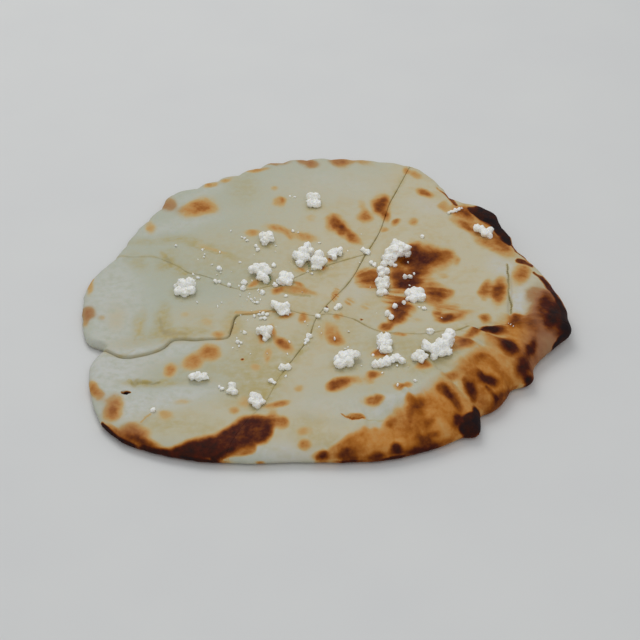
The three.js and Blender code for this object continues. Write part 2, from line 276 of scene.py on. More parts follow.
# %% Heights
CENTRE_HEIGHT = 11.0
UNDER_CURL = 1.5  # width of the underside's curl, as a multiple of the edge's height
BLISTERS = [  # x, y, radius and height
    (-72, 81, 12, 1.6),
    (6, 66, 9, 1.4),
    (33, 84, 8, 1.2),
    (54, 30, 17, 2),
    (40, -31, 10, 1.4),
    (60, -8, 10, 1.4),
    (-60, -48, 10, 1.2),
    (-21, -48, 8, 1.2),
]


def polar(x, y):
    """The bearing of a point of the plan, and how far inside the edge it lies."""
    bearing = np.degrees(np.arctan2(y, x))
    return bearing, np.maximum(edge_reach(bearing) - np.hypot(x, y), 0)


def top_height(x, y):
    bearing, inwards = polar(x, y)
    slope, lift, crest = (around_edge(bearing, column) for column in ("slope", "lift", "crest"))
    level = ease(clip(np.hypot(x, y) / (edge_reach(bearing) - slope)))
    plateau = CENTRE_HEIGHT + (crest - CENTRE_HEIGHT) * level
    fall = 1 - clip(inwards / slope)
    blisters = sum(height * bell(np.hypot(x - at_x, y - at_y), radius)
        for at_x, at_y, radius, height in BLISTERS)
    return lift + (plateau - lift) * np.sqrt(1 - fall**2) + (1 - fall) * blisters


def under_height(x, y):
    bearing, inwards = polar(x, y)
    lift = around_edge(bearing, "lift")
    rise = 1 - clip(inwards / (UNDER_CURL * lift))
    return lift * (1 - np.sqrt(1 - rise**2))


print("height in the middle:", top_height(np.zeros(1), np.zeros(1)).round(1), "mm")

# %% [markdown]
# The camera works the other way round too: the line of sight through a pixel meets the bread somewhere.
# How high it does so isn't known at first, so a height is assumed, the line is followed down to it, and
# the top's real height there gives a better one. After a few rounds the two agree.

# %% From a pixel to the bread
RAY_STEPS = 24  # each step halves the error


def on_bread(pixels, above=0.0):
    """The point on the bread's top, or this far above it, that each pixel shows."""
    pixels = np.array(pixels, float)
    across = (pixels[:, :1] - PICTURE / 2) / FOCUS
    up = (PICTURE / 2 - pixels[:, 1:]) / FOCUS
    rays = SIGHT + across * [1.0, 0.0, 0.0] + up * PICTURE_UP
    height = np.full(len(pixels), CENTRE_HEIGHT)
    for _ in range(RAY_STEPS):
        points = EYE + rays * ((height - EYE[2]) / rays[:, 2])[:, None]
        height = (height + above + top_height(points[:, 0], points[:, 1])) / 2
    return points


print("middle of the picture:", *on_bread([(PICTURE / 2, PICTURE / 2)]).round(1), "mm")

# %% [markdown]
# ## The knife cuts
# A wheel cut the bread along one long line, and three shorter cuts run into it. Each is a smooth curve
# through a few points that lie on the real cut. The curve is the centripetal kind of Catmull-Rom
# spline, which passes through its points without overshooting where they lie close together.

# %% Cuts
LONG_CUT = [(57, 141), (51, 122), (39, 86), (31, 52), (23, 29), (14, 5), (-4, -27), (-9, -47),
    (-16, -62), (-23, -77), (-31, -99), (-42, -117), (-56, -150)]
RIGHT_CUT = [(-4, -27), (1, -25), (14, -31), (26, -43), (36, -49), (50, -52), (66, -50), (82, -45),
    (98, -42), (125, -36), (150, -32)]
LEFT_CUT = [(-4, -27), (-25, -20.5), (-34, -23), (-47, -25), (-49.5, -35), (-52, -44), (-66, -45),
    (-80, -43.5), (-86, -50), (-94, -54.5), (-106, -56), (-118, -49), (-145, -42)]
UPPER_CUT = [(23, 29), (14, 25.5), (4, 21.5), (-7, 15.5), (-23, 4.5), (-34, 0.5), (-45, -1), (-55, 3),
    (-63, 11), (-74, 17), (-84, 26.5), (-94, 33), (-110, 34.5), (-145, 41)]
FINE = 0.8  # distance between the points of a fine surface


def smooth_line(corners, step=FINE):
    """Points along a smooth curve through corners of the plan, about `step` apart."""
    corners = np.array(corners, float)
    ends = 2 * corners[0] - corners[1], 2 * corners[-1] - corners[-2]
    posts = np.vstack([ends[0], corners, ends[1]])
    line = [corners[:1]]
    for before, start, end, after in zip(posts, posts[1:], posts[2:], posts[3:]):
        gaps = [math.sqrt(math.dist(*pair)) for pair in ((before, start), (start, end), (end, after))]
        leave = (start - before) / gaps[0] - (end - before) / (gaps[0] + gaps[1]) + (end - start) / gaps[1]
        arrive = (end - start) / gaps[1] - (after - start) / (gaps[1] + gaps[2]) + (after - end) / gaps[2]
        count = max(round(math.dist(start, end) / step), 1)
        share = (np.arange(count) + 1)[:, None] / count
        bend = leave * gaps[1] * share * (1 - share) ** 2 - arrive * gaps[1] * share**2 * (1 - share)
        line.append(start + (end - start) * ease(share) + bend)
    return np.vstack(line)


CUTS = {name: smooth_line(corners) for name, corners in (
    ("long", LONG_CUT), ("right", RIGHT_CUT), ("left", LEFT_CUT), ("upper", UPPER_CUT))}
for name, line in CUTS.items():
    print(name, "cut:", len(line), "points")

# %% [markdown]
# Much of what follows asks how far a point is from a line: the crust is pressed down beside a cut, and
# a crease is deepest along its middle. A long line of close points is searched through a tree, which
# finds the nearest one fast. A line of only a few points is gone through piece by piece.

# %% Distance to a line
TINY = 1e-12  # keeps a division by a length of zero away


def search_tree(points):
    """Points of the plan in a tree, which finds the nearest one fast."""
    tree = KDTree(len(points))
    for index, (x, y) in enumerate(points.tolist()):
        tree.insert((x, y, 0), index)
    tree.balance()
    return tree


def pieces_of(posts, points):
    """For each straight piece of a line: how far along it each point lies, from 0 to 1, how far away
    from it, and on which side, with 1 for the left."""
    for start, end in zip(posts, posts[1:]):
        run, away = end - start, points - start
        share = clip(away @ run / (run @ run))
        distance = np.hypot(*(away - run * share[:, None]).T)
        yield share, distance, np.sign(run[0] * away[:, 1] - run[1] * away[:, 0])


def distance_to(line, x, y):
    """How far each point of the plan is from a line of closely spaced points."""
    tree = search_tree(line)
    nearest = np.array([tree.find((*point, 0))[1] for point in zip(x.tolist(), y.tolist())])
    points = np.stack([x, y], axis=1)
    best = np.full(len(points), np.inf)
    for step in (-1, 1):
        start = line[nearest]
        side = line[np.clip(nearest + step, 0, len(line) - 1)] - start
        length = np.maximum((side**2).sum(1), TINY)
        share = clip(((points - start) * side).sum(1) / length)
        best = np.minimum(best, np.hypot(*(points - start - side * share[:, None]).T))
    return best


print("long cut:", distance_to(CUTS["long"], np.zeros(1), np.zeros(1)).round(1), "mm from the middle")

# %% [markdown]
# ## Creases, folds and wrinkles
# Where the dough was folded or pulled, it keeps a line: a groove, a ridge, or a fold with one side
# higher than the other. Each is told by a few pixels of the photograph that it runs through, its depth
# and its width. The camera turns the pixels into points of the bread, so the line lies on its surface.

# %% Relief lines
Crease = namedtuple("Crease", "along wide rise step", defaults=(2.0, 0.0, 0.0))
CREASES = [
    Crease(along=[(361, 407), (407, 395), (440, 373), (463, 359), (487, 347)], wide=4, rise=1.2),
    Crease(along=[(249, 409), (279, 410), (307, 412), (340, 420), (361, 407)], wide=3, rise=0.8),
    Crease(along=[(341, 414), (352, 418), (364, 418)], wide=1.4, rise=-1.0),
    Crease(along=[(508, 268), (510, 285), (510, 307), (511, 321)], wide=1.0, rise=-1.6),
    Crease(along=[(478, 327), (494, 323), (511, 321), (528, 314), (537, 306)], wide=1.2, step=-2.4),
    Crease(along=[(275, 291), (290, 287), (302, 289), (314, 297)], wide=1.8, rise=0.9),
    Crease(along=[(280, 290), (292, 294), (308, 297)], wide=1.0, rise=-0.9),
    Crease(along=[(131, 378), (140, 383), (160, 382)], wide=1.8, rise=-1.1),
    Crease(along=[(160, 382), (190, 383), (222, 389)], wide=2.4, rise=-0.7),
    Crease(along=[(136, 378), (134, 384), (137, 392)], wide=1.6, rise=-0.8),
    Crease(along=[(116, 428), (130, 428), (141, 426), (146, 419), (155, 412)], wide=1.2, step=1.4),
    Crease(along=[(160, 252), (166, 262), (180, 270), (200, 274)], wide=5, rise=-1.2),
    Crease(along=[(140, 240), (160, 237), (185, 234)], wide=3.5, rise=-1.0),
    Crease(along=[(185, 243), (206, 247), (230, 253)], wide=3.5, rise=-1.1),
    Crease(along=[(121, 258), (135, 262), (143, 268)], wide=3, rise=-1.0),
    Crease(along=[(121, 391), (125, 392.5), (129, 393)], wide=1.0, rise=-2.4),
    Crease(along=[(470, 208), (482, 217), (492, 222), (500, 236), (510, 246)], wide=1.6, rise=-1.6),
    Crease(along=[(158, 318), (162, 328), (161, 340)], wide=2.6, rise=-1.0),
    Crease(along=[(172, 247), (200, 258), (232, 262)], wide=6, rise=0.8),
    Crease(along=[(100, 290), (120, 300), (150, 300)], wide=9, rise=0.7),
    Crease(along=[(150, 430), (180, 436), (210, 425)], wide=8, rise=1.0),
    Crease(along=[(205, 262), (245, 284), (300, 275), (350, 261)], wide=5, rise=-0.8),
    Crease(along=[(300, 275), (325, 267), (350, 261)], wide=1.2, rise=0.5),
    Crease(along=[(462, 363), (470, 345), (480, 331)], wide=4, rise=0.9),
    Crease(along=[(440, 385), (452, 395), (462, 409), (470, 419)], wide=3, rise=-1.6),
    Crease(along=[(462, 376), (472, 388), (478, 403), (481, 414)], wide=3, rise=-1.6),
    Crease(along=[(480, 372), (492, 383), (500, 392)], wide=3, rise=-1.2),
    Crease(along=[(417, 394), (424, 412), (430, 432), (428, 446)], wide=4, rise=-1.3),
    Crease(along=[(384, 408), (394, 428), (398, 450)], wide=4, rise=-1.0),
    Crease(along=[(504, 346), (518, 362), (524, 380)], wide=3.5, rise=-1.4),
    Crease(along=[(520, 320), (532, 345), (540, 360)], wide=4, rise=-1.0),
]
CREASE_STEP = 2.0  # distance between the points of a crease
STEP_FADE = 12.0  # how far from a fold its higher side comes down again
TAPER = 4  # a crease fades in and out over one part in this many of its length


def crease_height(crease, x, y):
    """How much one crease lifts or sinks each point of the plan."""
    line = smooth_line(on_bread(crease.along)[:, :2], CREASE_STEP)
    near, far = line.min(0) - STEP_FADE * 2, line.max(0) + STEP_FADE * 2
    inside = (x > near[0]) & (x < far[0]) & (y > near[1]) & (y < far[1])
    points = np.stack([x[inside], y[inside]], axis=1)
    best = np.full(len(points), np.inf)
    side, along = np.zeros(len(points)), np.zeros(len(points))
    for index, (share, distance, beside) in enumerate(pieces_of(line, points)):
        closer = distance < best
        best = np.where(closer, distance, best)
        side = np.where(closer, beside, side)
        along = np.where(closer, (index + share) / (len(line) - 1), along)
    taper = ease(clip(TAPER * along)) * ease(clip(TAPER * (1 - along)))
    signed = best * side
    fold = (0.5 + 0.5 * np.tanh(signed / crease.wide)) * np.exp(-np.maximum(signed, 0) / STEP_FADE)
    lifted = np.zeros(len(x))
    lifted[inside] = taper * (crease.rise * bell(best, crease.wide) + crease.step * fold)
    return lifted


print("creases:", len(CREASES))

# %% [markdown]
# The thick rim wrinkled as it puffed up, with folds that run from the crest down to the edge. They
# follow a rule, so unevenness makes them: it is stretched along the slope and squeezed across it.
# Slower and weaker unevenness lies all over the bread, because flat dough looks like plastic.

# %% Soft relief
FOLD_ACROSS = 8.0  # size of a rim fold along the edge
FOLD_ALONG = 30.0  # and from the crest down to the edge
FOLD_HEIGHT = 1.9  # for each millimetre of pleat
FOLDS_START = 60  # bearing where the folds begin and end, on the thin edge
RIM_REACH = 1.3  # how far in the folds reach, as a multiple of the slope's width
SWELLS = [(34, 0.8), (13, 0.42), (6, 0.15)]  # size and height of the unevenness all over
EDGE_CALM = 3.0  # the relief fades out over this distance from the edge


def rim_folds(x, y):
    """Unevenness from -1 to 1, stretched from the crest of the rim down to its edge."""
    bearing, inwards = polar(x, y)
    arc = MEAN_REACH * np.radians(np.mod(bearing - FOLDS_START, 360))
    return mixed_uneven(arc / FOLD_ACROSS, inwards / FOLD_ALONG, size=1.0, seed=11)


def soft_relief(x, y):
    bearing, inwards = polar(x, y)
    slope = around_edge(bearing, "slope")
    on_rim = np.sin(np.pi * clip(1 - inwards / (RIM_REACH * slope)))
    relief = FOLD_HEIGHT * around_edge(bearing, "pleat") * rim_folds(x, y) * on_rim
    for number, (size, height) in enumerate(SWELLS):
        relief = relief + height * mixed_uneven(x, y, size, seed=20 + 5 * number)
    return relief * ease(clip(inwards / EDGE_CALM))


print("relief in the middle:", soft_relief(np.zeros(1), np.zeros(1)).round(2), "mm")

# %% [markdown]
# ## Browning
# A naan browns in blotches: where a blister touched the hot wall it went golden, then red-brown, and
# black where it burned. Each row below places one mark by the column and row of the pixel where the
# photograph shows its middle. Then come its width and height in millimetres, as seen across the line of
# sight, and how dark it is, from 0 for raw dough to 1 for char. A mark that lies askew ends with its
# turn in degrees. Where marks overlap, they darken each other, as more heat does. A few marks beside a
# large crumb and beside the scorched knob are painted shadow over the browning.

# %% Brown spots
Spot = namedtuple("Spot", "column row wide tall dark turn", defaults=(0,))


def spots(*rows):
    return [Spot(*row) for row in rows]


BACK_SPOTS = spots(
    (205, 206, 13, 8, 0.29), (190, 210, 15, 6.5, 0.26, 10), (168, 204, 8, 7, 0.27, 40),
    (151, 227, 5, 6, 0.27, 60), (274, 188, 4, 3, 0.16), (279, 202, 7, 5, 0.3, 20),
    (254, 233, 7, 4, 0.26), (275, 229, 13, 4, 0.22, -8), (288, 233, 8, 4, 0.28, -30),
    (304, 237, 15, 5, 0.32, -8), (337, 224, 11, 9, 0.6, -30), (345, 233, 12, 5, 0.45, -32),
    (355, 240, 9, 4.5, 0.34, -32), (381, 205, 9.5, 9.5, 0.7), (385, 216, 5, 6, 0.42),
    (364, 216, 7.5, 6, 0.46), (362, 206, 5, 7, 0.2), (279, 163, 12, 3.5, 0.42, 4),
    (308, 163, 10, 4, 0.46, -12), (341, 163, 10, 4.5, 0.5, -6), (360, 163, 12, 2.5, 0.2, -8),
    (256, 171, 12, 2.2, 0.32, 4), (211, 186, 8, 2.6, 0.26, 14), (228, 180, 8, 2.2, 0.18, 20),
    (312, 219, 5, 5, 0.14), (331, 259, 5, 4, 0.5, 40), (322, 267, 8, 2.2, 0.4, -8),
    (204, 245, 9, 3, 0.1, -16), (218, 250, 10, 2.5, 0.14, -16),
)
RIGHT_SPOTS = spots(
    (417, 176, 8, 3.4, 0.34, -25), (407, 172, 4, 4, 0.35, 40), (425, 193.5, 8.5, 4.2, 0.56, -12),
    (396, 223, 5, 3.6, 0.46, 10), (414.5, 221.5, 5.5, 4, 0.34, 10), (384, 229, 5, 3, 0.28),
    (445, 207, 5, 6, 0.3), (462, 226, 14, 4.5, 0.46, -28), (461, 214, 12, 6, 0.34, -30),
    (469, 212, 8, 5, 0.5, -35), (478, 224, 24, 12, 0.36, -35), (495, 247, 22, 6, 0.42, -25),
    # (412, 249) and (402, 262) on these two lines are painted shadow beside and below a crumb, over
    # browning.
    (500, 240, 16, 6, 0.5, -38), (423, 257, 27, 11, 0.76, -6), (412, 249, 7, 7, 0.55, 30),
    (402, 262, 9, 4, 0.5, -15), (410, 275, 24, 14, 0.42, -25), (436, 312, 6, 6, 0.3),
    (447, 254, 8, 5, 0.34), (418, 270, 15, 11, 0.5, 20), (405, 284, 14, 8, 0.7),
    (396, 275, 7, 8, 0.5, 8), (393, 299, 12, 12, 0.34), (456, 261, 3.5, 4.5, 0.26),
    (443, 274, 6, 3, 0.24), (370, 279, 14, 9, 0.6, -10), (435, 295, 14, 10.5, 0.62),
    (401, 311, 15, 10, 0.74, 40), (389, 324, 11, 5, 0.5, 20), (448, 308, 13, 5, 0.34, 10),
    (454, 316, 18, 5, 0.52, 12), (446, 318, 7, 4.5, 0.4), (486, 289, 5.5, 9, 0.44, -20),
    (499, 291, 7.5, 14, 0.62, -18), (484, 317, 6, 4.5, 0.45), (521, 273, 8, 12, 0.48, -25),
    (335, 294, 4.5, 8, 0.34, -25), (350, 301, 5, 3.5, 0.24), (363, 307, 6, 3.5, 0.22),
    (338, 315, 6, 4, 0.44, 10), (417, 319, 6, 3, 0.2), (450, 291, 5, 3, 0.14),
)
FRONT_SPOTS = spots(
    (331, 333, 14, 9, 0.32, -20), (336, 340, 9, 5, 0.28), (339, 384, 11, 6.5, 0.6, 15),
    (357, 380, 15, 4.5, 0.34), (374, 374, 10, 4, 0.44), (371, 401, 10, 5.5, 0.58),
    (424, 366, 10, 4.5, 0.42), (402, 333, 9, 2.2, 0.34), (378, 353, 10, 5, 0.6),
    (355, 416.5, 8, 2.4, 0.5, -4), (398, 388, 5, 4, 0.3), (305, 431, 8, 5, 0.26, 14),
    (306, 444, 7, 5, 0.34), (322, 455, 7, 5.5, 0.5), (300, 388, 6, 3.5, 0.18),
    (407, 386, 6, 3, 0.3, 20), (460, 343, 18, 8, 0.36, 25),
)
LEFT_SPOTS = spots(
    (219, 336, 7, 4.5, 0.32), (207, 323, 6, 4, 0.17), (187, 314, 5, 4, 0.12),
    (232, 328, 8, 12, 0.1, -15), (176, 336, 14, 6, 0.08), (163, 325, 5, 12, 0.05),
    (139, 328, 4.5, 8, 0.07, -20), (117, 320, 10, 12, 0.07), (88, 313, 8, 5.5, 0.38, 30),
    (85, 322, 4, 6, 0.2), (101, 316, 4, 3, 0.16), (91, 277, 2.6, 2.6, 0.6), (89, 286, 3, 9, 0.26, -15),
    (95, 390.5, 6, 10, 0.46, 25), (113.5, 407.5, 11, 11, 0.44, 20), (109, 416, 9, 7, 0.34, 20),
    (131, 435, 16, 10, 0.54, 10), (148, 447, 24, 7, 0.66, -25), (112, 430, 10, 3, 0.4, -30),
    (170, 371, 7.5, 7, 0.4), (192, 362, 12, 7.5, 0.4, 25), (211, 353, 11, 8.5, 0.45),
    (233, 410, 5.5, 5, 0.32), (164, 415, 8, 5, 0.26), (182, 402, 10, 3, 0.16, 5),
    (283, 345, 10, 7, 0.55, -35), (260, 339, 4.5, 6, 0.5), (273, 332, 4, 7, 0.4),
    (287, 316, 9, 3.6, 0.38, 18), (305, 318, 6, 6, 0.38), (277, 291, 5, 4, 0.4),
    (296, 291, 22, 4, 0.34, -8), (297, 285, 6, 3, 0.36, -20), (254, 283, 8, 2.6, 0.42, 20),
    (301, 269, 6, 2.4, 0.24), (266, 356, 4.5, 8, 0.22, -10), (255, 367, 5, 3.5, 0.24),
    (245, 402, 9, 6, 0.2), (276, 405, 13, 4, 0.46, 12), (242, 361, 1.8, 1.2, 0.95),
)
SCORCHED_FRONT = spots(
    (280, 424, 8, 6, 0.42, -15), (269, 424, 6, 12, 0.5, -15), (258, 420, 14, 5, 0.4),
    (321, 456, 8, 5, 0.4), (347, 455, 9, 8, 0.62), (376, 456, 9, 6, 0.62), (397, 449, 6, 7, 0.72),
    (425, 450, 22, 4.5, 0.55, 14), (426, 439, 10, 5, 0.42), (403, 430, 10, 8, 0.24, 20),
    # (459, 420) is painted shadow beside the knob, over browning.
    (430, 420, 4.5, 6, 0.34, -20), (436, 433, 6, 4, 0.4), (459, 420, 6, 9, 0.5, -20),
    (392, 420, 8, 5, 0.34, 20),
)
SCORCHED_RIGHT = spots(
    (544, 304, 7, 11, 0.6, -14), (550, 312, 14, 22, 0.5, -25), (539, 295, 11, 12, 0.3, -30),
    (555, 315, 8, 15, 0.8, -20), (566, 329, 9, 12, 0.96, -15), (516, 319, 8, 7, 0.6, 15),
    (526, 320, 8, 7, 0.16), (493, 328, 15, 4.4, 0.9, -4), (484, 326, 10, 2.6, 0.8, 8),
    (515, 351, 5, 5, 0.55), (508, 345, 8.5, 8, 0.84, -20), (531, 348, 6, 11, 0.72, -15),
    (525, 369, 9, 12, 0.74, 15), (531, 380, 5.5, 6, 0.96), (473, 332, 9, 5, 0.5, 20),
    (466, 345, 8, 6, 0.42, 20), (488, 380, 15, 5.5, 0.82, -24), (451, 375, 9, 4, 0.46),
    # (461, 416) is painted shadow beside the knob, over browning.
    (461, 416, 6, 9, 0.4, 10), (478, 360, 9, 5, 0.3, 10), (421, 405, 7, 9, 0.3, -15),
)
# The tear is a slit, and its black is painted shade inside it.
TEAR = Spot(126, 392, 5.4, 1.7, 1.0, -3)
CHARRED = spots(
    (476, 418, 6, 14, 0.92, 4), (471, 428, 12.5, 10.5, 0.92, 20), (471, 418, 7, 9, 0.85, 35),
    (325, 306, 1.6, 1.4, 1.0), (361, 320.5, 1.4, 1.0, 1.0),
)
WANDER = [(11, 2.6), (4.5, 0.9)]  # over how many millimetres a mark's edge wanders, and how many pixels far
SLANT = 0.7  # what a stretch away from the camera shrinks to, about
HALF_LEVEL = 0.95  # where a mark has faded to half, as a share of its half size
SOFT = 1.4  # the stretch over which a spot fades, as a share of its half size


def wander(at_pixel, x, y):
    """The pixels, each moved a little, which gives every mark an irregular edge."""
    moved = at_pixel
    for number, (size, reach) in enumerate(WANDER):
        across = uneven(x, y, size, seed=40 + 10 * number)
        down = uneven(x, y, size, seed=45 + 10 * number)
        moved = moved + reach * np.stack([across, SLANT * down], axis=1)
    return moved


def fade(far, soft):
    """1 in the middle of a mark, 0 well outside it, and half close to its edge, where `far` is 1."""
    return ease(clip((HALF_LEVEL - far) / soft + 0.5))


def spot_amount(marks, at_pixel, soft=SOFT):
    """How strongly a list of spots marks each pixel, from 0 to 1."""
    left = np.ones(len(at_pixel))
    for spot in marks:
        across, down = in_mm(at_pixel - (spot.column, spot.row)).T
        turn = math.radians(spot.turn)
        along = across * math.cos(turn) - down * math.sin(turn)
        over = across * math.sin(turn) + down * math.cos(turn)
        far = np.hypot(along / (spot.wide / 2), over / (spot.tall / 2))
        left *= 1 - spot.dark * fade(far, soft)
    return 1 - left


HEAT_AND_SHADE_SPOTS = BACK_SPOTS + RIGHT_SPOTS + FRONT_SPOTS + LEFT_SPOTS + SCORCHED_FRONT + SCORCHED_RIGHT
print("brown spots:", len(HEAT_AND_SHADE_SPOTS), "and charred ones:", len(CHARRED))

# %% [markdown]
# Some browning runs in bands rather than spots: the scorched lip, the charred front edge, and the
# amber all over the thick rim. A few bands along the lower edge, the left cut and two creases are
# browning with painted shade. A band follows a few pixels, with a width at each of them. How dark it
# is may change along it too, and `soft` is the stretch over which it fades, as a share of its half
# width. The furrows are fine lines of painted shade in creases and along the cuts, in which the dough
# looks darker without being baked darker.

# %% Brown bands
Band = namedtuple("Band", "along wide dark soft", defaults=(0.7,))
BANDS = [
    Band(along=[(470, 208), (480, 210), (490, 215.5), (495.5, 221), (501, 229.5), (506, 238), (509, 243)],
        wide=[1.6, 6, 8, 7.4, 6, 4.5, 2.5], dark=[0.7, 0.95, 0.96, 0.96, 0.96, 0.96, 0.96]),
    Band(along=[(438, 186), (448, 197.5), (459, 206)], wide=[1, 1.8, 1.6], dark=[0.4, 0.7, 0.7]),
    Band(along=[(509, 243), (519, 254), (530, 262)], wide=[1, 1, 0.8], dark=0.66),
    Band(along=[(518, 261), (526, 262.5), (532, 266)], wide=[1.2, 2, 1], dark=0.72),
    Band(along=[(533, 271), (541, 277), (548, 285), (556, 295), (562, 306), (568, 318), (572, 330)],
        wide=[1.5, 3, 2.2, 2.4, 4, 6, 6], dark=[0.7, 0.85, 0.85, 0.9, 0.93, 0.95, 0.96]),
    Band(along=[(546, 292), (553, 306), (558, 320), (560, 334)], wide=[5, 9, 11, 9],
        dark=[0.3, 0.5, 0.62, 0.4], soft=1.2),
    Band(along=[(573, 331), (566, 338), (555, 347)], wide=[6, 4.5, 2], dark=0.96, soft=0.5),
    Band(along=[(257, 431), (246, 432), (234, 438), (222, 445), (210, 449), (195, 452), (172, 455),
        (156, 455), (142, 448)], wide=[15, 16, 13.5, 13, 13, 12, 9, 7, 4],
        dark=[0.76, 0.82, 0.82, 0.84, 0.87, 0.89, 0.88, 0.8, 0.66], soft=0.7),
    Band(along=[(250, 449), (230, 453), (214, 460)], wide=[6, 5, 4], dark=[0.4, 0.5, 0.8]),
    # Along the lower front left edge: char, and painted shadow under the edge.
    Band(along=[(101, 424), (106, 431.5), (121, 442), (137, 450.5), (156, 457), (185, 462), (215, 464),
        (250, 465)], wide=[1.8, 3, 4, 4.5, 4.5, 4, 3.4, 2.4], dark=0.93),
    Band(along=[(439, 389), (446, 391), (453, 396), (461, 405)], wide=[5, 6, 5, 3.5],
        dark=[0.5, 0.66, 0.6, 0.4], soft=1.2),
    Band(along=[(465, 380), (470, 385), (473, 391), (475, 398)], wide=[3.5, 6, 5.5, 3],
        dark=[0.5, 0.7, 0.66, 0.4], soft=1.2),
    Band(along=[(487, 388), (492, 392), (497, 399)], wide=[1.5, 2.4, 2], dark=0.45, soft=1.2),
    Band(along=[(407, 399), (417, 402), (413, 410), (411, 420)], wide=[4, 7, 5, 3],
        dark=[0.26, 0.36, 0.3, 0.2], soft=1.2),
    Band(along=[(345, 461), (385, 458), (410, 453), (434, 447), (450, 441)], wide=[3, 5, 7, 7, 5],
        dark=[0.3, 0.45, 0.55, 0.55, 0.4], soft=1.2),
    # Along the lower edge between spur and knob: browning, and painted shade under the curve.
    Band(along=[(482, 424), (491, 413), (500, 403), (508, 395), (518, 389)], wide=[4, 6, 8, 7, 4],
        dark=[0.4, 0.55, 0.6, 0.6, 0.5], soft=1.2),
    # Along the lower front edge: char, and painted shadow under the edge.
    Band(along=[(250, 465), (330, 464), (390, 461), (440, 450)], wide=[2.4, 3, 3, 3], dark=0.8),
    Band(along=[(320, 459), (335, 453), (355, 447), (387, 440), (424, 424), (450, 412), (463, 398),
        (481, 384), (500, 367), (512, 345), (526, 330)], wide=[5, 9, 15, 20, 30, 34, 32, 30, 32, 32, 14],
        dark=[0.36, 0.4, 0.44, 0.46, 0.36, 0.32, 0.35, 0.36, 0.36, 0.36, 0.36]),
    Band(along=[(536, 318), (546, 340), (540, 358)], wide=[12, 16, 8], dark=[0.38, 0.36, 0.34]),
    # These three lines, along the left cut and two creases, are browning with painted shade.
    Band(along=[(234, 314), (252, 313), (276, 311)], wide=[1.4, 1.6, 1.2], dark=0.2),
    Band(along=[(342, 414.5), (352, 418.4), (363, 418.8)], wide=[0.8, 1, 0.8], dark=0.5),
    Band(along=[(141, 423), (145, 419), (150, 415.5)], wide=[0.8, 1, 0.8], dark=0.22),
]
# Painted shade: fine dark lines in creases, along the cuts and under the edge of the proud slice.
SHADED_FURROWS = [
    Band(along=[(509, 264), (509, 281), (509.5, 300), (510, 317)], wide=[1, 1.3, 1.3, 1], dark=0.9),
    Band(along=[(278, 290), (292, 293.5), (309, 297)], wide=[1, 1.2, 1], dark=0.6),
    Band(along=[(363, 418.8), (385, 418.5)], wide=[0.8, 0.8], dark=0.35),
    Band(along=[(130, 380), (136, 384), (139, 380), (160, 382)], wide=[2, 2.6, 2, 1.6], dark=0.22),
    Band(along=[(161, 254), (172, 264), (185, 270)], wide=[3, 3, 3], dark=0.18),
    Band(along=[(234, 314), (252, 313.6), (276, 311)], wide=[1, 1.4, 1], dark=0.5),
    Band(along=[(236, 315), (233, 322), (230, 334)], wide=[1.4, 1.4, 1.4], dark=0.3),
    Band(along=[(161, 319), (164, 331), (172, 337.5), (186, 338)], wide=[2, 3, 5, 3], dark=0.18, soft=1.4),
    Band(along=[(142, 324), (140, 331), (136, 339)], wide=[1.5, 2, 1.5], dark=0.14, soft=1.2),
    Band(along=[(137, 353), (128, 357), (112, 356), (100, 350)], wide=[1, 1.2, 1.2, 1], dark=0.2),
]


def band_amount(bands, at_pixel):
    """How strongly a list of bands marks each pixel, from 0 to 1."""
    left = np.ones(len(at_pixel))
    for band in bands:
        posts = np.array(band.along, float)
        wides, darks = (np.broadcast_to(values, len(posts)) for values in (band.wide, band.dark))
        far, dark = np.full(len(at_pixel), np.inf), np.zeros(len(at_pixel))
        for index, (share, distance, _) in enumerate(pieces_of(posts, at_pixel)):
            half = (wides[index] + (wides[index + 1] - wides[index]) * share) / 2
            here = in_mm(distance) / half
            dark = np.where(here < far, darks[index] + (darks[index + 1] - darks[index]) * share, dark)
            far = np.minimum(far, here)
        left *= 1 - dark * fade(far, band.soft)
    return 1 - left


print("bands:", len(BANDS), "and furrows:", len(SHADED_FURROWS))

# %% [markdown]
# Raw dough has its own colours too. Most of it is a cool ivory, it is creamier where it is thicker,
# whiter where flour sticks to it, and olive where oil and melted cheese soaked in.

# %% Tints of the pale dough
CREAMY = spots(
    (318, 436, 60, 26, 0.9), (450, 262, 150, 110, 0.95, -20), (340, 275, 80, 60, 0.8, 10),
    (345, 390, 130, 50, 0.4, 10), (205, 425, 90, 28, 0.7, 5), (290, 340, 70, 60, 0.75),
    (300, 220, 90, 50, 0.3), (210, 325, 50, 22, 0.5), (430, 185, 44, 26, 0.7), (230, 250, 50, 20, 0.3),
)
FLOURY = spots(
    (112, 372, 40, 34, 0.9, 20), (160, 352, 60, 14, 0.7, 12), (165, 400, 60, 12, 0.75, 15),
    (130, 408, 20, 18, 0.7), (112, 305, 34, 50, 0.7), (519, 299, 11, 20, 0.95, 10),
    (508, 269, 24, 10, 0.8, -25), (430, 206, 20, 8, 0.5, -10), (280, 452, 46, 12, 0.7),
    (175, 225, 50, 8, 0.45, 15), (395, 402, 40, 9, 0.6, 20), (345, 405, 60, 12, 0.4),
    (355, 290, 20, 14, 0.4, 30), (330, 183, 60, 16, 0.3), (200, 195, 34, 8, 0.4, 25),
)
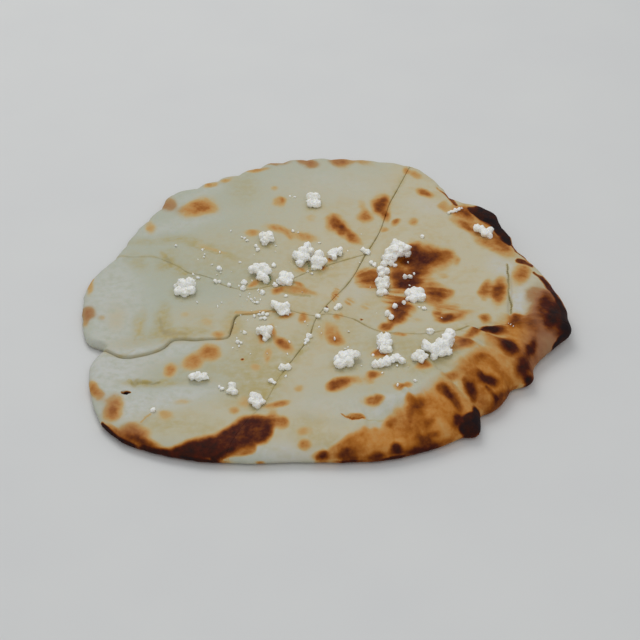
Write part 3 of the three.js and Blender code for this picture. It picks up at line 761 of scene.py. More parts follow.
SOAKED = spots(
    (153, 383, 32, 4.5, 0.9), (160, 424, 22, 10, 0.45), (305, 430, 16, 14, 0.5),
    (325, 443, 18, 10, 0.4), (197, 244, 30, 5, 0.75, -14), (218, 251, 20, 4, 0.85, -20),
    (166, 260, 7, 12, 0.8, -30), (180, 270, 22, 6, 0.4, -20), (160, 240, 34, 5, 0.5, 6),
    (137, 262, 14, 8, 0.45, -30), (243, 188, 16, 16, 0.4, -30), (180, 335, 34, 8, 0.95),
    (164, 323, 9, 18, 0.9), (233, 327, 11, 16, 0.85), (140, 325, 7, 14, 0.7, -15),
    (118, 318, 16, 20, 0.15), (207, 323, 10, 8, 0.3), (140, 343, 40, 8, 0.45, 10),
    (200, 268, 60, 22, 0.25, -10), (330, 320, 40, 16, 0.3, -25), (257, 370, 28, 40, 0.7, -25),
    (300, 345, 12, 34, 0.5, -35), (269, 389, 6, 24, 0.85, -35), (296, 354, 5, 18, 0.7, -38),
    (279, 372, 10, 7, 0.7), (250, 392, 24, 18, 0.4), (425, 368, 18, 7, 0.6),
    (485, 240, 16, 5, 0.5, -25), (195, 428, 34, 14, 0.4), (310, 278, 40, 9, 0.3, 10),
    (265, 285, 30, 7, 0.35), (400, 345, 50, 14, 0.4), (375, 305, 40, 16, 0.15),
    (430, 350, 50, 22, 0.3, 10), (240, 255, 50, 26, 0.25), (200, 370, 60, 14, 0.4),
)
AMBER = spots(
    (390, 440, 70, 20, 0.9, -10), (440, 412, 44, 24, 0.9, -30), (492, 376, 36, 22, 0.8, -45),
    (521, 332, 14, 20, 1.0),
)
# The first three spots lie on the flank of the scorched corner, where the rosy tint is partly a painted
# sheen.
ROSY_AND_SHEEN = spots(
    (550, 345, 24, 32, 1.0, -30), (547, 314, 20, 30, 0.9, -20), (536, 294, 14, 14, 0.7, -30),
    (128, 430, 18, 10, 0.35, -20), (105, 402, 14, 18, 0.4, -20), (88, 313, 14, 12, 0.7),
    (168, 207, 14, 12, 0.7), (300, 163, 60, 8, 0.6), (460, 345, 12, 8, 0.2, 25),
)
print("tinted places:", len(CREAMY + FLOURY + SOAKED + AMBER + ROSY_AND_SHEEN))

# %% [markdown]
# Each crumb of cheese gets a painted shadow on the dough at its near side, so the crumbs are placed
# now too: by the lobes that the photograph shows, each as the pixel of its middle and its radius. They
# get their shape later.

# %% Lobes of the large crumbs
LOBES = {  # for each crumb of the frame: column, row, and radius in millimetres
    1: [(178, 291, 2.5), (183, 284, 2.8), (190, 284, 3.0), (191, 291, 2.6), (185, 293, 2.6),
        (176, 285, 1.2)],
    2: [(310, 196, 2.3), (316, 197, 2.4), (311, 203, 2.4), (316, 204, 2.4)],
    3: [(263, 235, 2.3), (269, 235, 2.3), (265, 240, 2.3), (271, 238, 1.7), (263, 243, 1.2)],
    4: [(307, 246, 2.3), (311, 250, 1.8), (303, 251, 2.6), (297, 255, 2.5), (302, 258, 2.9),
        (300, 263, 2.2), (307, 256, 2.2), (294, 254, 0.9)],
    5: [(319, 254, 2.5), (315, 260, 2.8), (321, 261, 2.7), (324, 260, 1.8), (314, 266, 1.9),
        (319, 266, 1.7)],
    6: [(331, 254, 2.2), (336, 252, 2.1), (340, 249, 1.4), (334, 257, 1.8), (340, 254, 1.2)],
    7: [(252, 270, 2.1), (257, 269, 2.7), (263, 268, 2.9), (267, 271, 2.6), (261, 276, 2.6),
        (266, 279, 2.2)],
    8: [(284, 275, 2.8), (289, 277, 2.6), (283, 281, 2.6), (289, 283, 2.2), (279, 280, 1.6)],
    9: [(275, 305, 2.0), (280, 308, 2.7), (286, 307, 2.4), (281, 313, 2.0), (287, 312, 1.8),
        (273, 302, 1.2)],
    10: [(258, 330, 1.3), (263, 331, 2.3), (269, 330, 2.1), (267, 336, 1.8), (265, 339, 1.3)],
    11: [(407, 249, 2.3), (401, 247, 2.8), (396, 245, 2.7), (394, 251, 3.1), (389, 253, 2.5),
        (387, 259, 2.5), (393, 258, 2.4), (400, 253, 2.4), (384, 264, 2.0), (391, 264, 1.7),
        (383, 257, 1.2)],
    12: [(381, 270, 2.1), (386, 271, 1.9), (382, 275, 1.8)],
    13: [(380, 281, 2.2), (386, 280, 2.0), (381, 287, 2.3), (386, 286, 1.6), (380, 293, 2.0),
        (385, 292, 1.7)],
    14: [(409, 293, 2.2), (414, 291, 2.4), (420, 291, 2.2), (421, 297, 2.4), (414, 299, 2.2),
        (408, 299, 1.5), (414, 295, 2.6)],
    15: [(381, 337, 2.3), (387, 336, 2.1), (382, 343, 2.5), (389, 342, 1.9), (384, 349, 2.4),
        (389, 349, 1.7)],
    16: [(340, 364, 2.8), (343, 357, 2.8), (350, 355, 2.8), (356, 354, 2.1), (349, 362, 2.7),
        (338, 359, 2.2)],
    17: [(375, 364, 2.0), (381, 363, 2.3), (387, 362, 2.1), (387, 358, 1.6)],
    18: [(392, 359, 1.7), (397, 357, 2.1), (402, 360, 1.8), (405, 361, 1.0)],
    19: [(450, 334, 2.5), (447, 339, 2.8), (441, 344, 3.0), (435, 348, 3.0), (428, 346, 2.5),
        (425, 342, 1.6), (441, 352, 2.3), (448, 352, 2.1), (434, 355, 2.0), (446, 345, 2.4)],
    20: [(416, 357, 2.2), (420, 353, 2.0), (421, 360, 1.9), (425, 357, 1.6)],
    21: [(477, 228, 2.1), (482, 229, 2.2), (485, 233, 2.3), (490, 230, 2.1), (489, 235, 1.7)],
    22: [(192, 377, 1.9), (198, 377, 2.2), (204, 377, 1.9), (207, 378, 1.2)],
    23: [(232, 386, 2.0), (234, 392, 1.9), (230, 391, 1.7)],
    24: [(254, 396, 2.1), (252, 401, 1.9), (258, 399, 2.3), (257, 405, 2.1), (262, 402, 1.7)],
}
print("large crumbs:", len(LOBES), "with", sum(map(len, LOBES.values())), "lobes")

# %% [markdown]
# ## Points of the fine surface
# The frame's slices have a few thousand flat faces, and the looks need a fine, even mesh with crisp
# cuts. A triangulation from above does that well: a regular field of points all over the bread, extra
# rows beside the cuts and the edge where the surface bends fast, and the cuts and the outline as fixed
# lines that no triangle may cross.

# %% Outline and trimmed cuts
ROUND_STEPS = np.arange(1, 9) ** 2 * 0.05  # distances at which rows crowd towards the edge
CUT_GAP = 0.06  # half the width of a cut, whose sides lean together again
ROWS_BESIDE_CUT = (0.4, 0.7, 1.1, 1.6, 2.2, 3.0)
HALVINGS = 30  # of the stretch in which a cut crosses the outline
CROWDED = 0.4  # an outline point gives way to a cut's end that is nearer than this share of a step


def trim(line):
    """A cut's points up to the outline, closer together as they reach it."""
    outside = np.hypot(*line.T) > edge_reach(np.degrees(np.arctan2(line[:, 1], line[:, 0])))
    first, last = np.flatnonzero(~outside)[[0, -1]]
    run = np.concatenate([[0], np.cumsum(np.hypot(*np.diff(line, axis=0).T))])

    def crossing(inner, outer):
        for _ in range(HALVINGS):
            middle = (inner + outer) / 2
            x, y = (np.interp(middle, run, side) for side in line.T)
            out = math.hypot(x, y) > edge_reach(np.array([math.degrees(math.atan2(y, x))]))[0]
            inner, outer = (inner, middle) if out else (middle, outer)
        return inner

    start = crossing(run[first], run[first - 1]) if outside[0] else 0.0
    end = crossing(run[last], run[last + 1])
    near_start = start + ROUND_STEPS if outside[0] else np.array([])
    near_end = end - ROUND_STEPS[::-1]
    low, high = max(near_start, default=start) + FINE / 2, near_end[0] - FINE / 2
    between = run[(run > low) & (run < high)]
    places = np.concatenate([[start], near_start, between, near_end, [end]])
    return np.stack([np.interp(places, run, side) for side in line.T], axis=1)


TRIMMED = {name: trim(line) for name, line in CUTS.items()}


def make_outline():
    """Points of the outline about FINE apart, with the ends of the cuts among them."""
    ends = np.array([TRIMMED["long"][0], *(line[-1] for line in TRIMMED.values())])
    end_bearings = np.degrees(np.arctan2(ends[:, 1], ends[:, 0])) % 360
    step = math.degrees(FINE / MEAN_REACH)
    even = np.arange(0, 360 - step / 2, step)
    gap = np.abs((even[:, None] - end_bearings + 180) % 360 - 180).min(1)
    bearings = np.sort(np.concatenate([even[gap > CROWDED * step], end_bearings]))
    turn = np.radians(bearings)
    return edge_reach(bearings)[:, None] * np.stack([np.cos(turn), np.sin(turn)], axis=1)


OUTLINE = make_outline()
print("outline:", len(OUTLINE), "points")

# %% [markdown]
# The outline closes on itself. Each cut then joins the lines at its ends: the long one at the outline,
# the others at a point of the long cut and at the outline. Points keep their numbers from here on.

# %% Fixed lines
FIXED = [OUTLINE]
FIXED_EDGES = [(index, (index + 1) % len(OUTLINE)) for index in range(len(OUTLINE))]


def nearest_index(points, place):
    return int(np.hypot(*(points - place).T).argmin())


def fix_cut(line):
    """Adds a cut to the fixed lines, joined to what its ends lie on."""
    placed = np.vstack(FIXED)
    start, end = nearest_index(placed, line[0]), nearest_index(placed, line[-1])
    inner = range(len(placed), len(placed) + len(line) - 2)
    chain = [start, *inner, end]
    FIXED.append(line[1:-1])
    FIXED_EDGES.extend(zip(chain, chain[1:]))


for name in ("long", "right", "left", "upper"):
    fix_cut(TRIMMED[name])
FIXED_POINTS = np.vstack(FIXED)
print("fixed lines:", len(FIXED_POINTS), "points,", len(FIXED_EDGES), "edges")

# %% [markdown]
# The other points may lie anywhere, so long as they keep clear of the fixed lines. The flat underside
# needs far fewer of them than the top. The small tear needs more, because it is only a few
# millimetres long and has a crisp, dark rim.

# %% Loose points
UNDER_STEP = 2.2  # distance between the points of the underside
FIELD_HALF = 165.0  # half the width of the field, which is more than the bread's
FIELD_SHIFT = 0.12  # how far a point strays from its regular place, as a share of the distance
APART = 0.3  # loose points stay this far from the fixed lines
TEAR_FIELD = 4.0  # half the width of the field of finer points at the tear
TEAR_STEP = 0.25
CLEAR_OF_CUT = ROWS_BESIDE_CUT[-1] + FINE / 2
ALL_CUTS = np.vstack(list(CUTS.values()))


def field(step, seed, half=FIELD_HALF):
    """An even field of points with every other row shifted, each a little out of place."""
    rows = np.arange(-half, half, step * math.sqrt(3) / 2)
    columns = np.arange(-half, half, step)
    x, y = np.meshgrid(columns, rows)
    x = x + (np.arange(len(rows)) % 2)[:, None] * step / 2
    points = np.stack([x.ravel(), y.ravel()], axis=1)
    return points + np.random.default_rng(seed).uniform(-1, 1, points.shape) * step * FIELD_SHIFT


def rows_inside_edge(step):
    """Rows of points that follow the outline, closer together towards it."""
    bearings = np.arange(0, 360, math.degrees(step / MEAN_REACH))
    turn = np.radians(bearings)
    rows = [(edge_reach(bearings) - inwards)[:, None] * np.stack([np.cos(turn), np.sin(turn)], axis=1)
        for inwards in ROUND_STEPS]
    return np.vstack(rows)


def rows_beside(line):
    along = np.gradient(line, axis=0)
    across = np.stack([-along[:, 1], along[:, 0]], axis=1) / np.hypot(*along.T)[:, None]
    return np.vstack([line + across * offset * side for offset in ROWS_BESIDE_CUT for side in (1, -1)])


def keep_apart(points, placed, gap):
    """Those points that are at least `gap` away from all placed ones."""
    tree = search_tree(placed)
    far = np.array([tree.find((x, y, 0))[2] for x, y in points.tolist()])
    return points[far > gap]


def inside(points, inwards):
    return points[polar(*points.T)[1] > inwards]


def clear_of_cuts(points, gap):
    return points[distance_to(ALL_CUTS, *points.T) > gap]


def loose_top_points():
    beside = inside(np.vstack([rows_beside(line) for line in TRIMMED.values()]), ROUND_STEPS[0] / 2)
    beside = clear_of_cuts(keep_apart(beside, FIXED_POINTS, APART), APART)
    edge = clear_of_cuts(rows_inside_edge(FINE), CLEAR_OF_CUT)
    even = clear_of_cuts(inside(field(FINE, seed=5), ROUND_STEPS[-1] + FINE / 2), CLEAR_OF_CUT)
    middle = on_bread([(TEAR.column, TEAR.row)])[0, :2]
    even = even[np.hypot(*(even - middle).T) > TEAR_FIELD + FINE / 2]
    finer = field(TEAR_STEP, seed=7, half=TEAR_FIELD)
    finer = finer[np.hypot(*finer.T) < TEAR_FIELD] + middle
    return np.vstack([beside, edge, even, finer])


def loose_under_points():
    edge = clear_of_cuts(rows_inside_edge(2 * FINE), FINE)
    even = inside(field(UNDER_STEP, seed=6), ROUND_STEPS[-1] + UNDER_STEP / 2)
    return np.vstack([edge, clear_of_cuts(even, UNDER_STEP / 2)])


LOOSE_TOP, LOOSE_UNDER = loose_top_points(), loose_under_points()
print("loose points:", len(LOOSE_TOP), "on top and", len(LOOSE_UNDER), "underneath")

# %% [markdown]
# ## Triangles, and which slice each belongs to
# Blender's own constrained Delaunay triangulation joins the points. Each cut runs steadily in one
# direction, so a look at which side of it a triangle's middle lies says which slice it belongs to.

# %% Triangulate
INSIDE_ONLY = 1  # the triangulation's way to leave out what lies outside the outline
SAME_PLACE = 1e-5  # points nearer than this become one


def triangulate(loose):
    """Plan points, the fixed ones first, and the triangles between them."""
    points = np.vstack([FIXED_POINTS, loose])
    corners = [Vector(point) for point in points.tolist()]
    _, _, triangles, origins, _, _ = delaunay_2d_cdt(corners, FIXED_EDGES, [], INSIDE_ONLY, SAME_PLACE)
    source = np.array([ids[0] if ids else -1 for ids in origins])
    faces = source[np.array(triangles)]
    assert (faces >= 0).all(), "two fixed lines cross"
    return points, faces


def side_of(name, x, y):
    """Positive to the right of the long cut, and above each of the others."""
    line = CUTS[name]
    if name == "long":
        return x - np.interp(y, line[::-1, 1], line[::-1, 0])
    ordered = line[np.argsort(line[:, 0])]
    return y - np.interp(x, *ordered.T)


SLICE_NAMES = ["slice_back", "slice_left", "slice_front_left", "slice_right", "slice_front"]


def slice_of(points, faces):
    """The place in SLICE_NAMES of each triangle's slice."""
    x, y = points[faces].mean(1).T
    left = np.where(side_of("upper", x, y) > 0, 0, np.where(side_of("left", x, y) > 0, 1, 2))
    right = np.where(side_of("right", x, y) > 0, 3, 4)
    return np.where(side_of("long", x, y) > 0, right, left)


TOP_POINTS, TOP_FACES = triangulate(LOOSE_TOP)
UNDER_POINTS, UNDER_FACES = triangulate(LOOSE_UNDER)
print("top:", len(TOP_FACES), "triangles, underside:", len(UNDER_FACES))

# %% [markdown]
# ## Shape and browning of every point
# Now each point of the top gets its height: the smooth form first, then the soft relief and the
# creases, and the rounding where the knife pressed the crust down. The browning is worked out from
# the smooth form, so that the marks land on the same pixels whatever the fine relief does.

# %% Heights and marks of the top
ROUNDING = 0.6  # radius of the crust's edge along a cut
SHUT = spots(  # where the knife pressed the dough together rather than apart
    (245, 436, 50, 36, 1.0), (142, 258, 60, 24, 0.85), (540, 320, 34, 9, 1.0),
    (269, 389, 12, 24, 0.8, -35),
)
TEAR_DEPTH = 0.8
SPOT_RISE = 0.45  # how far a browned blister stands up
SOFT_CHAR = 0.35  # char has a crisper edge than other marks
SOFT_LINE = 0.4  # so have the tear and the places where the cuts are shut
FOLD_BROWNING = 0.5  # how much browner the ridges of the rim's folds are than its furrows
FOLDS_SHOW = 3  # they show in full where the browning is over one part in this many
SHADOW_BELOW = 2  # pixels from a crumb's lowest lobe to the middle of its painted shadow
SHADOW_SPREAD = 1.6  # how much taller than half the crumb's picture the painted shadow is, in mean radii
SHADOW_DARK = 0.6  # how dark the painted shadow makes the dough
CUT_STAIN = 0.8  # how dark fat that ran into a cut makes the dough along it
CUT_STAIN_REACH = 1.5  # how far from the cut that stain fades, in millimetres
CUT_STAIN_VARIES = 0.8  # how much wider or narrower it is in places
SHADE_IN_CUT = 0.6  # how much darker the painted shade in the open gap of a cut makes its pressed edge
SHADE_IN_FURROWS = 2  # how much more than oil a furrow's painted shade darkens the dough


def shadow_below_crumb(lobes):
    """The painted shadow of a crumb on the bread, mostly at its near side."""
    columns, rows, radii = np.array(lobes, float).T
    across, down = in_mm(np.ptp(columns)), in_mm(np.ptp(rows))
    wide, tall = across + 2 * radii.mean(), down / 2 + SHADOW_SPREAD * radii.mean()
    return Spot(columns.mean(), rows.max() + SHADOW_BELOW, wide, tall, dark=SHADOW_DARK)


CRUMB_SHADOWS = [shadow_below_crumb(lobes) for lobes in LOBES.values()]


def browning(at_pixel, x, y):
    """The marks of the spots alone, and all the browning together, with its painted shade."""
    from_spots = spot_amount(HEAT_AND_SHADE_SPOTS, at_pixel)
    raw = (1 - from_spots) * (1 - band_amount(BANDS, at_pixel))
    toast = 1 - raw * (1 - spot_amount(CHARRED, at_pixel, SOFT_CHAR))
    pleat = around_edge(polar(x, y)[0], "pleat")
    on_fold = ease(clip(toast * FOLDS_SHOW)) * (1 - toast) * np.minimum(pleat, 1)
    return from_spots, clip(toast + FOLD_BROWNING * on_fold * rim_folds(x, y))


def finish_top(points):
    """The height of each point of the top, and its tints."""
    x, y = points.T
    smooth = top_height(x, y)
    steady = seen(np.stack([x, y, smooth], axis=1))
    at_pixel = wander(steady, x, y)
    from_spots, toast = browning(at_pixel, x, y)
    torn = spot_amount([TEAR], steady, SOFT_LINE)
    calm = ease(clip(polar(x, y)[1] / EDGE_CALM))
    relief = soft_relief(x, y) + calm * SPOT_RISE * from_spots
    for crease in CREASES:
        relief = relief + calm * crease_height(crease, x, y)
    from_cut = distance_to(ALL_CUTS, x, y)
    pressed = ROUNDING * (1 + 0.5 * uneven(x, y, size=7, seed=60))
    near_cut = 1 - clip(from_cut / pressed)
    shut = spot_amount(SHUT, at_pixel, SOFT_LINE)
    relief = relief - calm * pressed * (1 - np.sqrt(1 - near_cut**2)) * (1 - shut) - TEAR_DEPTH * torn
    # oil soaked in, with the painted shadows at the crumbs' near sides
    soaked_and_shaded = spot_amount(SOAKED + CRUMB_SHADOWS, at_pixel)
    stain = bell(from_cut, CUT_STAIN_REACH + CUT_STAIN_VARIES * uneven(x, y, size=9, seed=61))
    beside_cut = CUT_STAIN * stain * (0.65 + 0.35 * uneven(x, y, size=14, seed=62))
    in_places = clip(0.5 + 0.5 * uneven(x, y, size=5, seed=63))
    # painted shade in the open gap of each cut, none where it is shut
    shade_in_cut = SHADE_IN_CUT * bell(from_cut, ROUNDING) * in_places * (1 - shut)
    return smooth + relief, {
        # the tear's black is painted shade inside the slit
        "toast": np.maximum(toast, torn),
        "cream": spot_amount(CREAMY, at_pixel),
        "flour": spot_amount(FLOURY, at_pixel),
        # oil soaked in, with the painted shade of crumbs, cuts and furrows
        "soak": np.maximum(soaked_and_shaded, beside_cut) + shade_in_cut + SHADE_IN_FURROWS * band_amount(SHADED_FURROWS, at_pixel),
        "rosy": spot_amount(ROSY_AND_SHEEN, at_pixel),
        "amber": spot_amount(AMBER, at_pixel),
    }


TOP_HEIGHTS, TOP_TINTS = finish_top(TOP_POINTS)
print("top heights:", TOP_HEIGHTS.min().round(2), "to", TOP_HEIGHTS.max().round(2), "mm")

# %% [markdown]
# The photograph doesn't show the underside. A naan's underside stuck to the oven wall, so it is evenly
# speckled with golden and brown spots, and where it curls up it takes over the browning of the edge,
# with the painted shade along it.

# %% Heights and marks of the underside
UNDER_CARRY = 7.0  # distance over which the edge's browning and painted shade fade out under the bread


def finish_under(points):
    """The height of each point of the underside, and its tints."""
    x, y = points.T
    bearing, inwards = polar(x, y)
    edge_bearing = np.degrees(np.arctan2(OUTLINE[:, 1], OUTLINE[:, 0])) % 360
    carried, rosy, amber = (np.interp(bearing, edge_bearing, TOP_TINTS[tint][: len(OUTLINE)], period=360)
        for tint in ("toast", "rosy", "amber"))
    golden = clip(0.35 + 0.9 * mixed_uneven(x, y, size=16, seed=70))
    brown = clip(2.2 * mixed_uneven(x, y, size=7, seed=75) - 0.75)
    speckled = 0.3 * golden + 0.4 * brown
    share = np.exp(-inwards / UNDER_CARRY)
    return under_height(x, y), {
        "toast": clip(share * carried + (1 - share) * speckled),
        "cream": 0.5 + 0.4 * mixed_uneven(x, y, size=30, seed=80),
        "flour": clip(0.4 + mixed_uneven(x, y, size=10, seed=85)),
        "soak": np.zeros(len(x)),
        "rosy": share * rosy,
        "amber": share * amber,
    }


UNDER_HEIGHTS, UNDER_TINTS = finish_under(UNDER_POINTS)
print("browning of the underside:", UNDER_TINTS["toast"].mean().round(2), "on average")

# %% [markdown]
# ## One mesh for each slice
# A slice is its part of the top, its part of the underside, and a wall along each cut that joins the
# two. The top and the underside already share the outline. Each slice is drawn back from the cut by
# half the cut's width, so that a thin dark gap shows between neighbours, as it does on the real bread.

# %% Edges along the cuts
SHUT_BY = 0.8  # how much narrower a cut is where it is shut
BLUNT = 0.3  # keeps a slice's sharp corners from moving far when it is drawn back


def open_edges(faces):
    """The edges that only one triangle has, in that triangle's direction."""
    edges = np.concatenate([faces[:, [0, 1]], faces[:, [1, 2]], faces[:, [2, 0]]])
    low, high = edges.min(1).astype(np.int64), edges.max(1)
    _, where, count = np.unique(low * (1 << 32) + high, return_inverse=True, return_counts=True)
    return edges[count[where] == 1]


def cut_edges(faces):
    """The open edges of a slice that lie along a cut."""
    edges = open_edges(faces)
    ring = len(OUTLINE)
    step = np.abs(edges[:, 0] - edges[:, 1])
    on_outline = (edges < ring).all(1) & ((step == 1) | (step == ring - 1))
    return edges[~on_outline]


def draw_back(points, edges):
    """The points, with those on the edges moved inwards by half a cut's width, less where it is shut."""
    run = points[edges[:, 1]] - points[edges[:, 0]]
    inwards = np.stack([-run[:, 1], run[:, 0]], axis=1) / np.hypot(*run.T)[:, None]
    total, count = np.zeros_like(points), np.zeros(len(points))
    for end in (0, 1):
        np.add.at(total, edges[:, end], inwards)
        np.add.at(count, edges[:, end], 1)
    mean = total / np.maximum(count, 1)[:, None]
    length = np.maximum((mean**2).sum(1), BLUNT)[:, None]
    steady = seen(np.column_stack([points, top_height(*points.T)]))
    gap = CUT_GAP * (1 - SHUT_BY * spot_amount(SHUT, steady, SOFT_LINE))
    return points + gap[:, None] * mean / length * (count > 0)[:, None]


print("cuts:", 2 * CUT_GAP, "mm wide")

# %% [markdown]
# Along the left cut, one slice has slipped up and stands proud of its neighbour. It is raised most at
# the cut itself and less and less further in, and its own edge there is well rounded.

# %% Proud side
PROUD_SLICE = "slice_left"  # it stands proud of its neighbour along the left cut
PROUD_BY = 1.8
PROUD_FADE = 11.0
PROUD_FROM = (-20.0, -80.0)  # it rises from nothing to its full height between these X
PROUD_ROUNDING = 2.4
PROUD_DROP = 0.9  # how far its own edge is rounded down again, as a share of that height


def raise_proud_side(x, y, height):
    """The height of the slice that stands proud, raised along the left cut."""
    from_cut = distance_to(CUTS["left"], x, y)
    low, full = PROUD_FROM
    along = ease(clip((x - low) / (full - low))) * ease(clip(polar(x, y)[1] / EDGE_CALM))
    rounding = 1 - clip(from_cut / PROUD_ROUNDING)
    drop = PROUD_DROP * (1 - np.sqrt(1 - rounding**2))
    return height + PROUD_BY * along * (bell(from_cut, PROUD_FADE) - drop)


print("the", PROUD_SLICE, "stands proud by up to", PROUD_BY, "mm")

# %% [markdown]
# Each slice becomes one object. The browning with its painted shade, the rosy tint with its painted
# sheen, and the other tints ride on its points as numbers, where the material will find them.

# %% Slices
TINTS = ("toast", "cream", "flour", "soak", "rosy", "amber")


def mesh_piece(name, places, faces, tints):
    """A smooth-shaded object from places in millimetres, with one number for each tint and point."""
    used, faces = np.unique(faces, return_inverse=True)
    faces = faces.reshape(-1, 3)
    mesh = bpy.data.meshes.new(name)
    mesh.from_pydata(((places[used] + MIDDLE) * MM).tolist(), [], faces.tolist())
    for tint, values in tints.items():
        attribute = mesh.attributes.new(tint, "FLOAT", "POINT")
        attribute.data.foreach_set("value", values[used].astype(np.float32))
    mesh.shade_smooth()
    piece = bpy.data.objects.new(name, mesh)
    bpy.context.scene.collection.objects.link(piece)
    print(name, "has", len(faces), "triangles")
    return piece


def make_slice(name):
    """One slice as a closed piece."""
    number = SLICE_NAMES.index(name)
    top = TOP_FACES[slice_of(TOP_POINTS, TOP_FACES) == number]
    under = UNDER_FACES[slice_of(UNDER_POINTS, UNDER_FACES) == number]
    edges = cut_edges(top)
    top_points = draw_back(TOP_POINTS, edges)
    under_points = draw_back(UNDER_POINTS, cut_edges(under))
    heights = TOP_HEIGHTS
    if name == PROUD_SLICE:
        heights = raise_proud_side(*TOP_POINTS.T, heights)
    number_under = np.arange(len(UNDER_POINTS))
    below = np.where(number_under < len(OUTLINE), 0, len(TOP_POINTS)) + number_under
    start, end = edges.T
    upper_half = np.stack([end, start, below[start]], axis=1)
    lower_half = np.stack([end, below[start], below[end]], axis=1)
    walls = np.vstack([upper_half, lower_half])
    distinct = (walls[:, 0] != walls[:, 1]) & (walls[:, 1] != walls[:, 2]) & (walls[:, 0] != walls[:, 2])
    faces = np.vstack([top, below[under][:, ::-1], walls[distinct]])
    places = np.vstack([
        np.column_stack([top_points, heights]),
        np.column_stack([under_points, UNDER_HEIGHTS]),
    ])
    tints = {tint: np.concatenate([TOP_TINTS[tint], UNDER_TINTS[tint]]) for tint in TINTS}
    return mesh_piece("baked_" + name, places, faces, tints)


SLICES = {name: make_slice(name) for name in SLICE_NAMES}

# %% [markdown]
# ## Colours as they look
# A colour read off a picture isn't the colour of the thing: it is what is left of it under the light of
# the room. The function below goes back from one to the other, for the light that this scene has.

# %% Colours
LIGHT = 0.84  # how much of the light on a level surface the lamps and the sky make up
GLANCE = 0.011  # light that glances off any surface, whatever its colour
DARKEST, BRIGHTEST = 0.003, 0.95  # between these every base colour stays


def looks(red, green, blue):
    """The base colour of a surface that looks like this on a screen, 0 to 255, under this light."""
    sides = (side / 255 for side in (red, green, blue))
    seen_light = (side / 12.92 if side < 0.04 else ((side + 0.055) / 1.055) ** 2.4 for side in sides)
    return (*(min(max((side - GLANCE) / LIGHT, DARKEST), BRIGHTEST) for side in seen_light), 1.0)


print("a middle grey:", *(round(side, 3) for side in looks(128, 128, 128)))

# %% [markdown]
# ## A small language for materials
# A material is a graph of nodes, and wiring it by hand hides the idea behind it. The class below wraps
# one output of a node and lets Python's own signs stand for Math nodes, so that `1 - toast * 0.5`
# reads as it works. Every other node comes from one method that takes its type, settings and inputs.

# %% Shader helper
class Level:
    """A number that varies over a surface: one output of a node, with Python's signs for maths."""

    def __init__(self, finish, socket):
        self.finish, self.socket = finish, socket

    def maths(self, operation, first, second):
        return self.finish.node("ShaderNodeMath", {"operation": operation}, {0: first, 1: second})

    def __add__(self, other):
        return self.maths("ADD", self, other)

    def __sub__(self, other):
        return self.maths("SUBTRACT", self, other)

    def __rsub__(self, other):
        return self.maths("SUBTRACT", other, self)

    def __mul__(self, other):
        return self.maths("MULTIPLY", self, other)

    __radd__ = __add__
    __rmul__ = __mul__


class Finish:
    """A material in the making."""

    def __init__(self, name):
        self.material = bpy.data.materials.new(name)
        self.material.use_nodes = True
        self.tree = self.material.node_tree
        self.shader = self.tree.nodes["Principled BSDF"]

    def feed(self, socket, value):
        if isinstance(value, Level):
            self.tree.links.new(value.socket, socket)
        else:
            socket.default_value = value

    def node(self, kind, settings=None, values=None, output=0):
        node = self.tree.nodes.new(kind)
        for setting, value in (settings or {}).items():
            if setting == "stops":
                ramp = node.color_ramp.elements
                ramp.remove(ramp[1])
                for index, (place, colour) in enumerate(value):
                    stop = ramp[0] if index == 0 else ramp.new(place)
                    stop.position, stop.color = place, colour
            else:
                setattr(node, setting, value)
        for socket, value in (values or {}).items():
            self.feed(node.inputs[socket], value)
        return Level(self, node.outputs[output])

    def tint(self, name):
        """One of the numbers that the mesh holds for each point."""
        return self.node("ShaderNodeAttribute", {"attribute_name": name}, output="Fac")

    def place(self):
        return self.node("ShaderNodeTexCoord", output="Object")

    def speckle(self, size, detail=2.0):
        """Fine unevenness from 0 to 1, of a size in millimetres."""
        values = {"Vector": self.place(), "Scale": 1 / (size * MM), "Detail": detail}
        return self.node("ShaderNodeTexNoise", {}, values, output="Fac")

    def within(self, level, low, high):
        """0 below low, 1 above high, and a straight line between."""
        values = {"Value": level, "From Min": low, "From Max": high}
        return self.node("ShaderNodeMapRange", {"clamp": True}, values)

    def mix(self, share, first, second):
        return self.node("ShaderNodeMix", {"data_type": "RGBA"}, {0: share, 6: first, 7: second}, output=2)

    def set(self, **inputs):
        for name, value in inputs.items():
            self.feed(self.shader.inputs[name.replace("_", " ")], value)

# %% [markdown]
# ## The finish of the crust
# The pale dough is mixed first, from ivory, cream, flour white, the olive of soaked oil and the painted
# shade of crumbs, cuts and furrows. A ramp then turns the browning, with the painted shade along the
# lower edge and in the tear, into colour, from pale gold to char. Where it isn't burned, the thick rim
# is more amber and the scorched corner more rosy than the ramp; on the corner's flank that rosy tint is
# partly a painted sheen. Fine speckle breaks up all of it, and gives the crust its skin of tiny pores
# and bubbles.

# %% Bread finish
IVORY = looks(168, 170, 154)
CREAM = looks(184, 175, 149)
GOLD = looks(180, 161, 118)
FLOUR = looks(184, 184, 178)
OLIVE = looks(164, 149, 98)
# the painted shade of furrows and of the open cuts
FURROW_SHADE = looks(100, 90, 58)
# rosy brown; on the scorched corner's flank it is partly a painted sheen
ROSE = looks(135, 100, 80)
ORANGE = looks(196, 120, 34)
# its dark end also colours the painted shade along the lower edge and in the tear
BROWNING = [
    (0.0, looks(180, 170, 138)),
    (0.12, looks(182, 160, 116)),
    (0.25, looks(181, 148, 98)),
    (0.38, looks(176, 126, 71)),
    (0.5, looks(154, 97, 46)),
    (0.62, looks(130, 73, 31)),
    (0.72, looks(103, 56, 26)),
    (0.82, looks(74, 38, 22)),
    (0.92, looks(55, 36, 32)),
    (1.0, looks(42, 36, 37)),
]  # from raw to charred
PORES = 1.3  # size of the finest speckle, in millimetres
MOTTLES = 3.6
PATCHES = 16.0


